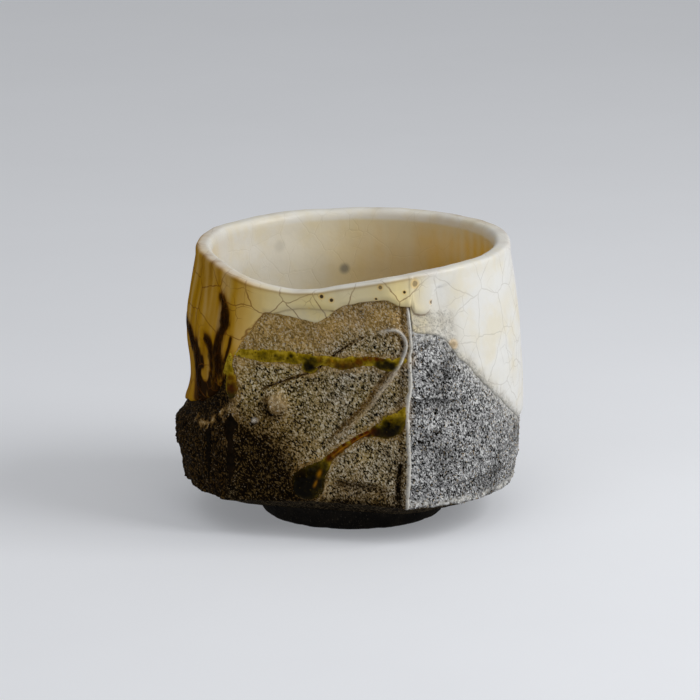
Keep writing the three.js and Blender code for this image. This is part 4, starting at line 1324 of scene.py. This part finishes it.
def outsideMarks(height, veil):
    tint, around = outsideTint, allRound(height)
    points = placeAt(around, skinRows["noiseRadius"] + 0 * height, height)
    onBody = placeAt(around, bodyRadius(around, height), height)
    cloud, strands = layered(points, tint["cloud"]), layered(points, tint["strands"])
    fromBack = smoothStep(around + layered(points, tint["border"]), *tint["leftFrom"])
    left = fromBack * (1 - smoothStep(around, *tint["leftTo"]))
    front = between(around, *tint["frontSpan"])
    back = smoothStep(np.abs(around), *tint["backFrom"])
    # stain on the left, with a golden tongue left free
    tongueGap, _, _ = nearPath(onBody, tint["goldTongue"], tint["tongueReach"], tint["pathSteps"])
    tongue = 1 - smoothStep(tongueGap + layered(onBody, tint["tongueRagged"]), *tint["tongueEdge"])
    behind = 1 - smoothStep(around, *tint["behindTo"])
    low = smoothStep(tint["stainTop"] - height + tint["stainRagged"] * cloud, *tint["stainEdge"])
    low = low * (1 - tint["tongueClean"] * tongue) * (1 - tint["behindClean"] * behind)
    streaky = tint["cloudStain"] * cloud + tint["strandStain"] * np.maximum(0, -strands)
    stain = left * np.clip(tint["stain"] + streaky + low, 0, 1)
    # and beside the brown runs and the dark streak
    nearRuns = 0 * height
    for name in ("frontBrownRun", "middleBrownRun", "rearBrownRun"):
        gap, half = gapToRun(onBody, runs[name], tint["runReach"])
        fade = smoothStep(gap - tint["runCore"] * half, 0.0, tint["runSpread"] + tint["runCloud"] * cloud)
        nearRuns = np.maximum(nearRuns, 1 - fade)
    rearEdge = behind * smoothStep(tint["rearTop"] - height, *tint["rearEdge"])
    streakGap, _, _ = nearPath(onBody, tint["arrisStreak"], tint["streakReach"], tint["pathSteps"])
    nearRuns = most(nearRuns * (1 - tint["rearClean"] * rearEdge), 1 - smoothStep(streakGap, *tint["streakEdge"]))
    stain = np.maximum(stain, tint["runStain"] * nearRuns * (1 - tint["runTongue"] * tongue))
    cream = tint["frontCream"] * front + left * tint["leftCream"] + tint["backCream"] * back
    cream = np.clip(cream + layered(points, tint["creamCloud"]), 0, 1)
    # brown line along the thick glaze's edge
    faint = tint["rimLineFaint"]
    rimLine = (faint + (1 - faint) * smoothStep(around, *tint["rimLineFrom"])) * between(around, *tint["rimLineSpan"])
    rimLine = rimLine * bell(height, thickEdgeAt(around), tint["rimLineWidth"]) * (1 - tint["rimLineVeil"] * veil)
    rimLine = rimLine * (1 - tint["rimLineBand"] * between(around, *coat["underBand"]))
    rimLine = rimLine * np.clip(tint["rimLineBase"] + layered(points, tint["rimLineRagged"]), 0, 1)
    honey = tint["honey"] + tint["honeyDrop"] * (rimAt(angles) - height) + tint["honeyCloud"] * cloud
    honey = honey - tint["honeyStrands"] * strands + tint["honeySide"] * hump(around, *tint["honeySideAt"])
    honey = fromBack * (1 - smoothStep(around, *tint["yellowTo"])) * np.clip(honey, 0, 1)
    brown = np.clip(front + left, 0, 1)
    return front, {"stain": stain, "honey": honey, "cream": cream, "veil": veil, "rimLine": rimLine,
                   "brownLines": brown, "lines": tint["lines"] + tint["brownLines"] * brown}


# What colours the lip; turn is 0 outside and pi inside
lipTint = {
    "cloud": [[0.3, 5.0, 74]], "cloudStain": 0.6, "over": [-0.7, 1.0],
    "spotStain": 0.4, "spotAt": [128, 26], "spotTurn": [1.1, 0.4],
    "brownInside": 0.5, "lines": 0.18, "brownLines": 0.5, "outerLines": 0.6, "innerLines": 0.07,
    "rimLine": 0.5, "rimLineTurn": [0.55, 0.2], "ochre": 0.3, "ochreTurn": [1.8, 3.0], "honeyFade": 1.5,
    "cream": 0.3, "paler": 0.75, "palerTurn": [0.5, 0.95],
}


def lipMarks(turn, lipUp, lipHeight, front, outer, rightSide):
    tint = lipTint
    stain, honey, cream, brown = (outer[name][-1] for name in ("stain", "honey", "cream", "brownLines"))
    over = smoothStep(np.cos(turn), *tint["over"])
    points = placeAt(allRound(lipHeight), skinRows["noiseRadius"] + 0 * lipHeight, lipHeight)
    lipStain = tint["cloudStain"] * np.clip(layered(points, tint["cloud"]), 0, 1) * lipUp + stain * over
    lipStain = lipStain + tint["spotStain"] * hump(angles, *tint["spotAt"]) * bell(turn, *tint["spotTurn"])
    lines = (tint["lines"] + tint["brownLines"] * brown) * over * tint["outerLines"] + tint["innerLines"] * (1 - over)
    paler = 1 - tint["paler"] * smoothStep(turn, *tint["palerTurn"])
    return {"stain": lipStain, "honey": honey * over ** tint["honeyFade"], "lines": lines,
            "rimLine": tint["rimLine"] * front[-1] * bell(turn, *tint["rimLineTurn"]),
            "ochre": tint["ochre"] * rightSide * smoothStep(turn, *tint["ochreTurn"]),
            "cream": (cream * over + tint["cream"] * (1 - over)) * paler,
            "brownLines": brown * over + tint["brownInside"] * (1 - over)}


# What colours the inside, most of it on the right as it is seen over the lip, with painted shade deeper in; angles here
# are 0 to 360
insideTint = {
    "rightSpan": [25, 70, 105, 205], "ochre": 0.85, "ochreStreaks": [[0.5, [2.0, 2.0, 26.0], 77]],
    "ochreFrom": [-0.14, 0.12], "leftOchre": 0.22, "leftOchreAt": [-80, 25], "leftOchreTo": [0.05, 0.3],
    "cream": 0.08, "rightCream": 0.42, "creamSpan": [5, 90, 165, 235],
    "depthShade": 0.6, "depthShadeFrom": [0.06, 0.28], "honey": 0.45, "honeyFrom": [0.08, 0.26], "lines": 0.04, "brownLines": 0.5,
    "floorCream": 0.4, "floorDepthShade": 0.3, "coveLines": 0.2, "floorLines": 0.24, "floorBrownLines": 0.55,
}


def buildSkin():
    rows, tint = skinRows, insideTint
    edge, top = whiteEdgeAt(angles), rimAt(angles) - cup["lipRounding"]
    skin = coat["seat"] + coat["thickness"]
    coveTop = cup["floorHeight"] + cup["floorDish"] + cup["floorCove"]
    rightSide = between(angles % 360, *tint["rightSpan"])
    parts, marks = [], []

    def addRows(radius, height, **given):
        radius, height, around = np.broadcast_arrays(radius, height, angles[None, :])
        parts.append(placeAt(around, radius, height))
        marks.append({name: np.broadcast_to(given.get(name, 0.0), height.shape) for name in skinMarkNames})

    # outside, with rows crowded towards the lower edge
    height = edge + (top - edge) * shares(rows["outside"]) ** rows["crowding"]
    lift, veil = coatLift(allRound(height), height)
    outsideRadius = bodyRadius(allRound(height), height) + lift
    front, outer = outsideMarks(height, veil)
    addRows(outsideRadius, height, **outer)
    # lip
    turn = halfTurn(rows["lip"])
    square = np.where(np.cos(turn) > 0, rows["squareOut"], rows["squareIn"])
    lipUp, lipOut = np.sin(turn) ** square, np.sign(np.cos(turn)) * np.abs(np.cos(turn)) ** square
    inside = insideRadius(angles, top) - skin
    lipPoints = placeAt(angles, rows["noiseRadius"] + 0 * angles, rows["lipNoiseHeight"] + 0 * angles)
    lipRise = cup["lipRounding"] + skin + layered(lipPoints, rows["lipWave"])
    lipHeight = top + lipRise * lipUp
    addRows(acrossLip(inside + coat["thinInside"], outsideRadius[-1], lipOut), lipHeight,
            **lipMarks(turn, lipUp, lipHeight, front, outer, rightSide))
    # inside of the wall
    share = shares(rows["inside"])
    height = top + (coveTop - top) * share
    around = allRound(height)
    points = placeAt(around, insideRadius(around, height), height)
    wave = layered(points, rows["wave"]) * smoothStep(share, *rows["waveFrom"])
    wave = wave * (1 - rows["waveEnd"] * smoothStep(share, *rows["waveTo"]))
    ochre = rightSide * np.clip(tint["ochre"] + layered(points, tint["ochreStreaks"]), 0, 1)
    leftOchre = tint["leftOchre"] * hump(around, *tint["leftOchreAt"]) * (1 - smoothStep(share, *tint["leftOchreTo"]))
    ochre = np.maximum(ochre * smoothStep(share, *tint["ochreFrom"]), leftOchre)
    cream = tint["cream"] + tint["rightCream"] * between(angles % 360, *tint["creamSpan"])
    honey = tint["honey"] * rightSide * smoothStep(share, *tint["honeyFrom"])
    addRows(insideRadius(around, height) - skin + thinnerInside(top - height) + wave, height, ochre=ochre, cream=cream,
            honey=honey, deepGrey=tint["depthShade"] * smoothStep(share, *tint["depthShadeFrom"]), brownLines=tint["brownLines"],
            lines=tint["lines"])
    # cove and floor, to the middle
    wall = insideRadius(angles, coveTop + 0 * angles) - skin + wave[-1]
    turn = np.pi / 2 * np.arange(1, rows["cove"] + 1)[:, None] / rows["cove"]
    down = np.sin(turn)
    floorZ = cup["floorHeight"] + cup["floorDish"] + skin
    coveRadius = cup["floorCove"] - skin
    addRows(wall - coveRadius * (1 - np.cos(turn)), coveTop - (coveTop - floorZ) * down,
            ochre=ochre[-1] * (1 - down), honey=honey[-1] * (1 - down),
            cream=cream + (tint["floorCream"] - cream) * down,
            deepGrey=tint["depthShade"] + (tint["floorDepthShade"] - tint["depthShade"]) * down,
            lines=tint["lines"] + tint["coveLines"] * down ** 3, brownLines=tint["brownLines"])
    share = shares(rows["floor"] + 1)[1:]
    radius = (wall - coveRadius) * (1 - share)
    dish = cup["floorDish"] * (1 - (1 - share) ** 2) ** 2
    floorWave = layered(placeAt(allRound(radius), radius, 0 * radius), rows["floorWave"]) * (1 - share)
    addRows(radius, floorZ - dish + floorWave, cream=tint["floorCream"], lines=tint["floorLines"],
            brownLines=tint["floorBrownLines"], deepGrey=tint["floorDepthShade"])
    # underneath, close to the clay
    share = shares(rows["underFloor"])
    underFloor = floorZ - rows["inset"] - cup["floorDish"] * (1 - share) - skin * rows["underSkin"]
    addRows((wall - coveRadius) * share, underFloor)
    share = shares(rows["under"], rows["underFrom"])
    low = floorZ - rows["inset"]
    height = low + (top - low) * share
    under = insideRadius(allRound(height), height) - skin + rows["inset"]
    under = under + rows["underThinner"] * thinnerInside(top - height)
    addRows(under - coveRadius * (1 - smoothStep(share, *rows["underCove"])), height)
    turn = halfTurn(rows["underLip"])
    inside = inside + rows["inset"] + rows["underThinner"] * coat["thinInside"]
    addRows(acrossLip(inside, outsideRadius[-1] - rows["inset"], -np.cos(turn)),
            top + (lipRise - rows["underLipDrop"]) * np.sin(turn))
    height = top + (edge - top) * shares(rows["under"], 0.0, rows["underTo"])
    addRows(bodyRadius(allRound(height), height) - rows["underGap"], height)
    allMarks = {name: np.vstack([mark[name] for mark in marks]) for name in skinMarkNames}
    return meshFromRows("whiteSkin", np.vstack(parts), True, allMarks, whiteGlaze, skinMapOf(np.vstack(parts)))


# Flat map in millimetres: round and along the wall, and straight down on the cove and the floor
def skinMapOf(allRows):
    rows = skinRows
    steps = np.linalg.norm(np.diff(allRows, axis=0), axis=-1)
    along = np.vstack([0 * angles, np.cumsum(steps, axis=0)])
    along = along - along[rows["outside"] + rows["lip"] // 2]
    around = np.append(np.radians(angles), np.radians(angles[0] + 360)) * cup["rimRadius"]
    floorFrom = rows["outside"] + rows["lip"] + rows["inside"] - 1
    floorTo = floorFrom + rows["cove"] + rows["floor"] + 1

    def flatMaps(row, column):
        nextRow, nextColumn = (row + 1) % len(allRows), (column + 1) % len(angles)
        if floorFrom <= row < floorTo:
            ring = ((row, column), (row, nextColumn), (nextRow, nextColumn), (nextRow, column))
            return [(allRows[r, c, 0] + rows["floorMapShift"], allRows[r, c, 1]) for r, c in ring]
        u0, u1 = around[column], around[column + 1]
        return [(u0, along[row, column]), (u1, along[row, nextColumn]), (u1, along[nextRow, nextColumn]),
                (u0, along[nextRow, column])]

    return flatMaps


dress(buildSkin(), "white_glaze", "white_glaze")


# Surface that a run lies on
def seatRadius(angle, height):
    clay = bodyRadius(angle, height) + clayRelief(angle, height)[0]
    glazed = bodyRadius(angle, height) + coatLift(angle, height)[0]
    return np.where(height > whiteEdgeAt(angle), glazed, clay)


# Colour marks of the amber runs: spots as [angle, height, radius, strength], glints as a path with a width
runMarks = {
    "upperAmberRun": {
        "red": [
            [-9.4, 34.9, 0.9, 0.5], [-6.4, 34.6, 1.0, 0.6], [-4, 34.6, 1.2, 0.7], [-0.5, 34.6, 1.2, 0.75],
            [2.4, 35.4, 1.0, 0.8], [4.5, 36.2, 0.6, 0.95], [6.6, 36.3, 0.6, 1.0], [8.8, 36.3, 0.6, 1.0],
            [10.6, 36.2, 0.5, 0.8], [-13.4, 35.6, 0.6, 0.5]],
        "dark": [
            [-30.8, 35.8, 0.42, 0.9], [-24.8, 35.9, 0.5, 0.9], [-26.2, 35.5, 0.35, 0.7], [-17.7, 34.2, 1.35, 0.95],
            [-16.4, 35.2, 0.9, 0.7], [-5.6, 34.5, 0.7, 0.6], [-2.6, 34.3, 0.8, 0.55], [0.4, 34.5, 0.8, 0.5],
            [9.6, 35.1, 1.1, 0.9], [12, 35.2, 1.3, 0.97], [14, 34.9, 1.0, 0.97], [-43.4, 35.3, 0.3, 0.8]],
        "glint": [[[[-9, 35.9], [-7.6, 35.2]], 0.16]]},
    "cornerAmberRun": {
        "red": [[-45.0, 30.6, 1.5, 0.6], [-45.1, 29.0, 1.3, 0.8]],
        "dark": [[-45.6, 27.2, 1.2, 0.95], [-44.9, 29.4, 0.8, 0.5], [-45.2, 28.4, 0.8, 0.6]]},
    "lowerAmberRun": {
        "red": [
            [8, 22.2, 1.1, 0.95], [5.4, 21.8, 1.0, 1.0], [3.5, 21.3, 1.0, 1.0], [0.5, 20.3, 1.0, 1.0],
            [-2.6, 19.2, 1.0, 1.0], [-5.1, 18.3, 1.0, 1.0], [-7.2, 17.4, 1.0, 1.0], [-9, 16.7, 1.0, 0.95],
            [-20.4, 13.4, 1.1, 0.6], [12, 22.0, 0.9, 0.6]],
        "dark": [
            [10, 22.2, 1.5, 0.9], [12.4, 22.6, 2.0, 0.95], [14.8, 22.9, 1.7, 0.92], [16.4, 24.4, 1.2, 0.7],
            [6.4, 21.5, 0.5, 0.7], [3.6, 21.5, 0.3, 0.8], [1.4, 20.3, 0.4, 0.6], [-1.2, 19.4, 0.4, 0.6],
            [-3.4, 19.1, 0.4, 0.7], [-6, 17.8, 0.45, 0.6], [-8.6, 16.6, 0.5, 0.6], [-11.6, 15.0, 1.2, 0.85],
            [-14, 13.8, 2.6, 0.95], [-17.8, 11.6, 5.4, 1.0], [-20.6, 9.9, 4.6, 1.0]],
        "glint": [
            [[[-12.7, 14.3], [-13.5, 13.1]], 0.3], [[[-14.0, 12.4], [-15.2, 11.0]], 0.2],
            [[[13.2, 24.9], [13.6, 24.8]], 0.3], [[[6, 21.9], [3, 21.0], [0, 20.0]], 0.13],
            [[[-1.5, 19.5], [-4, 18.7], [-8, 17.1]], 0.17]]},
}
# Shape that all the runs share
ribbon = {
    "along": 170, "across": 17, "underneath": 3, "underWidth": 0.8, "sunk": 0.22, "endPower": 10, "firstSeed": 81,
    "raggedWidth": 1.1, "raggedLeast": 0.12, "sideShift": 40.0, "raggedCells": ((1.0, 1.7), (0.5, 0.8)),
    "swellWidth": 1.3, "swellSpan": [0.55, 1.7], "finThins": 0.8, "edgeSunk": 0.1,
    "depthPower": 1.5, "depthWidth": 2.2, "depthSpan": [0.35, 1.0],
    "glintReach": 4.0, "glintSteps": 12, "glint": 0.2, "glintMiddle": 0.35, "spotRagged": [0.3, 0.9, 20],
}


# Round blots of colour with ragged edges
def blots(points, spots, seed):
    strength, cell, seedStep = ribbon["spotRagged"]
    ragged = 1 + strength * noiseAt(points, cell, seed + seedStep)
    value = np.zeros(len(points))
    for angle, height, radius, share in spots:
        value = np.maximum(value, share * lumpOn(points - spotOnWall(angle, height), radius * ragged))
    return value


# Short glints along their paths
def glints(points, streaks):
    shine = np.zeros(len(points))
    for streak, width in streaks:
        gap, share, _ = nearPath(points, streak, ribbon["glintReach"], ribbon["glintSteps"])
        bright = ribbon["glint"] + ribbon["glintMiddle"] * np.sin(np.pi * share)
        shine = np.maximum(shine, bell(gap, 0.0, width) * bright)
    return shine


def buildRun(name, run, seed):
    path = smoothPath(run["path"], ribbon["along"])
    width, spots = path[:, 2], onWall(path[:, :2])
    share = np.linspace(0, 1, ribbon["along"])
    roundedEnds = np.sqrt(np.maximum(0, 1 - (2 * share - 1) ** ribbon["endPower"]))
    length = np.concatenate([[0], np.cumsum(np.linalg.norm(np.diff(spots, axis=0), axis=1))])
    outward = placeAt(path[:, 0], 1 + 0 * width, 0 * width)
    across = np.cross(outward, np.gradient(spots, length, axis=0))
    across /= np.linalg.norm(across, axis=1)[:, None]
    ragged = run["ragged"] * np.clip(ribbon["raggedWidth"] / width, ribbon["raggedLeast"], 1.0)
    swell = np.clip(width / ribbon["swellWidth"], *ribbon["swellSpan"]) * roundedEnds
    deep = np.clip(width / ribbon["depthWidth"], *ribbon["depthSpan"])
    chosen = runMarks.get(name, {})
    rows = []
    marks = {mark: [] for mark in ("glint", "red", "dark", "fin", "middle", "depth")}
    for side in np.linspace(-1, 1, ribbon["across"]):
        layers = [[strength, cell, seed] for strength, cell in ribbon["raggedCells"]]
        edgeNoise = 1 + ragged * layered(spots + np.sign(side) * ribbon["sideShift"], layers)
        at = spots + across * (width * roundedEnds * edgeNoise * side)[:, None]
        angle, height = angleOf(at), at[:, 2]
        fin = clayRelief(angle, height)[1]["pale"] * (height < whiteEdgeAt(angle))
        full = np.sqrt(max(0.0, 1 - side ** 2))
        lift = run["thickness"] * swell * full * (1 - ribbon["finThins"] * fin) - ribbon["edgeSunk"] * (1 - full)
        rows.append(placeAt(angle, seatRadius(angle, height) + lift, height))
        marks["depth"].append(full ** ribbon["depthPower"] * deep * roundedEnds)
        marks["fin"].append(fin)
        marks["middle"].append(full + 0 * share)
        marks["glint"].append(glints(at, chosen.get("glint", [])))
        for mark in ("red", "dark"):
            marks[mark].append(blots(at, chosen.get(mark, []), seed))
    for side in np.linspace(1, -1, ribbon["underneath"] + 2)[1:-1]:
        at = spots + across * (width * roundedEnds * side * ribbon["underWidth"])[:, None]
        angle = angleOf(at)
        rows.append(placeAt(angle, seatRadius(angle, at[:, 2]) - ribbon["sunk"], at[:, 2]))
    marks = {mark: np.array(values + [0 * share] * ribbon["underneath"]).T for mark, values in marks.items()}
    return meshFromRows(name, np.array(rows).transpose(1, 0, 2), False, marks, runMaterials[run["slot"]])


for number, (name, run) in enumerate(runs.items()):
    dress(buildRun(name, run, ribbon["firstSeed"] + number), run["slot"], run["node"])

# Foot ring of smoked clay, darkened further as painted shade
foot = {
    "height": 4.4, "radius": 17.6, "flare": 1.0, "width": 4.4, "chamfer": 0.5, "columns": 240, "lowest": 0.05,
    "spacing": 0.5, "rough": [[0.14, 3.0, 91], [0.07, 1.1, 92]],
}
footAngles = np.linspace(-180, 180, foot["columns"], endpoint=False)


# Section of [radius, height] corners into evenly spaced points, swept round with a rough surface
def buildFoot():
    outer, inner = foot["radius"], foot["radius"] - foot["width"]
    corners = [(inner, foot["lowest"]), (outer - foot["chamfer"], foot["lowest"]), (outer, foot["chamfer"]),
               (outer + foot["flare"], foot["height"]), (inner - foot["flare"], foot["height"]),
               (inner, foot["lowest"])]
    line = []
    for (r0, z0), (r1, z1) in zip(corners[:-1], corners[1:]):
        steps = max(1, int(math.hypot(r1 - r0, z1 - z0) / foot["spacing"]))
        line += [(r0 + (r1 - r0) * i / steps, z0 + (z1 - z0) * i / steps) for i in range(steps)]
    line = np.array(line)
    radius, height = (np.broadcast_to(line[:, i, None], (len(line), foot["columns"])) for i in range(2))
    around = np.broadcast_to(footAngles, radius.shape)
    bump = layered(placeAt(around, radius, height), foot["rough"])
    lean = np.roll(line, -1, axis=0) - np.roll(line, 1, axis=0)
    lean /= np.maximum(np.linalg.norm(lean, axis=1), tiny)[:, None]
    radius = radius + bump * lean[:, 1, None]
    height = np.maximum(height - bump * lean[:, 0, None], 0.0)
    return meshFromRows("footRing", placeAt(around, radius, height), True, {}, smokedAndShadedClay)


dress(buildFoot(), "smoked_clay", "foot_ring")

# Floor of smoked clay, darkened further as painted shade, with rings left on its underside
floorDisc = {
    "rows": 44, "rough": [[0.14, 3.0, 95], [0.08, 1.2, 96]], "ringDepth": 0.06, "ringTurns": 3.1,
    "smooth": [0.0, 0.04, 0.97, 1.0], "topShares": [1.0, 0.86, 0.5, 0.0], "topDrop": 0.3,
}


def buildFloorDisc():
    underZ = cup["footHeight"] + cup["slipJoint"]
    wall = insideRadius(footAngles, underZ + 0 * footAngles) - cup["slipJoint"]
    share = shares(floorDisc["rows"])
    radius = wall * share
    around = np.broadcast_to(footAngles, radius.shape)
    dent = layered(placeAt(around, radius, underZ + 0 * radius), floorDisc["rough"])
    dent = dent - floorDisc["ringDepth"] * np.cos(radius * floorDisc["ringTurns"])
    dent = dent * between(share, *floorDisc["smooth"])
    under = placeAt(around, radius, underZ + np.abs(dent))
    topRadius = wall * np.array(floorDisc["topShares"])[:, None]
    topHeight = cup["floorHeight"] - floorDisc["topDrop"] + 0 * topRadius
    cover = placeAt(np.broadcast_to(footAngles, topRadius.shape), topRadius, topHeight)
    return meshFromRows("clayFloor", np.vstack([under, cover]), True, {}, smokedAndShadedClay)


dress(buildFloorDisc(), "smoked_clay", "floor_disc")

# Studio: pale floor, soft key from the right, soft fill
studio = {
    "floorRadius": 3.0, "floorZ": -0.02 * mm, "floorSides": 64, "floorColour": srgb(214, 216, 220), "floorGlow": 0.3,
    "floorDim": 0.94, "floorCloud": 60.0, "lampAim": 0.028,
    "keyAngle": 72.0, "keyRise": 36.0, "keyDistance": 0.55, "keySize": 0.36, "keyPower": 2.0,
    "fillAngle": -12.0, "fillRise": 56.0, "fillDistance": 0.8, "fillSize": 0.8, "fillPower": 1.5,
    "worldStrength": 0.34, "worldColour": srgb(228, 229, 231),
}


def buildFloor():
    sides, radius, colour = studio["floorSides"], studio["floorRadius"], studio["floorColour"]
    spots = [(0.0, 0.0, studio["floorZ"])]
    for turn in np.linspace(0, 2 * math.pi, sides, endpoint=False):
        spots.append((radius * math.cos(turn), radius * math.sin(turn), studio["floorZ"]))
    mesh = bpy.data.meshes.new("studioFloor")
    mesh.from_pydata(spots, [], [(0, 1 + i, 1 + (i + 1) % sides) for i in range(sides)])
    material, tree, shader = newMaterial("palePaper", {"Roughness": 0.8, "Emission Strength": studio["floorGlow"]})
    cloud = noiseNode(tree, millimetres(tree), studio["floorCloud"], 3.0)["Fac"]
    dim = [value * studio["floorDim"] for value in colour[:3]] + [1.0]
    put(tree, shader.inputs["Base Color"], blendColour(tree, cloud, colour, dim))
    path = addNode(tree, "ShaderNodeLightPath")
    seen = calc(tree, "MAXIMUM", path.outputs["Is Camera Ray"], path.outputs["Is Glossy Ray"])
    seen = calc(tree, "MAXIMUM", seen, path.outputs["Is Transmission Ray"])
    put(tree, shader.inputs["Emission Color"], blendColour(tree, seen, (0, 0, 0, 1), colour))
    mesh.materials.append(material)
    linked(bpy.data.objects.new("studioFloor", mesh))


def addLamp(name, kind):
    turn, rise = math.radians(studio[kind + "Angle"]), math.radians(studio[kind + "Rise"])
    lamp = bpy.data.lights.new(name, "AREA")
    lamp.energy = studio[kind + "Power"]
    lamp.size = studio[kind + "Size"]
    piece = linked(bpy.data.objects.new(name, lamp))
    away = np.array([math.sin(turn) * math.cos(rise), -math.cos(turn) * math.cos(rise), math.sin(rise)])
    piece.location = cupAxis + away * studio[kind + "Distance"] + np.array([0, 0, studio["lampAim"]])
    piece.rotation_euler = (math.pi / 2 - rise, 0, turn)


def lightWorld():
    world = bpy.data.worlds.new("studioWorld")
    world.use_nodes = True
    back = world.node_tree.nodes["Background"]
    back.inputs["Color"].default_value = studio["worldColour"]
    back.inputs["Strength"].default_value = studio["worldStrength"]
    bpy.context.scene.world = world


buildFloor()
addLamp("keyLamp", "key")
addLamp("fillLamp", "fill")
lightWorld()

# Camera, at the height and distance that the view was read at
view = {"elevation": 13.8, "distance": 0.85, "lens": 227.3, "sensor": 36.0, "aim": (-0.5 * mm, 0.0, 30.97 * mm)}
camera = bpy.data.cameras.new("camera")
camera.lens = view["lens"]
camera.sensor_width = view["sensor"]
cameraPiece = linked(bpy.data.objects.new("camera", camera))
rise = math.radians(view["elevation"])
back = np.array([0, -math.cos(rise), math.sin(rise)]) * view["distance"]
cameraPiece.location = cupAxis + np.array(view["aim"]) + back
cameraPiece.rotation_euler = (math.pi / 2 - rise, 0, 0)
bpy.context.scene.camera = cameraPiece
bpy.context.scene.view_settings.view_transform = "Standard"
print("studio and camera made")
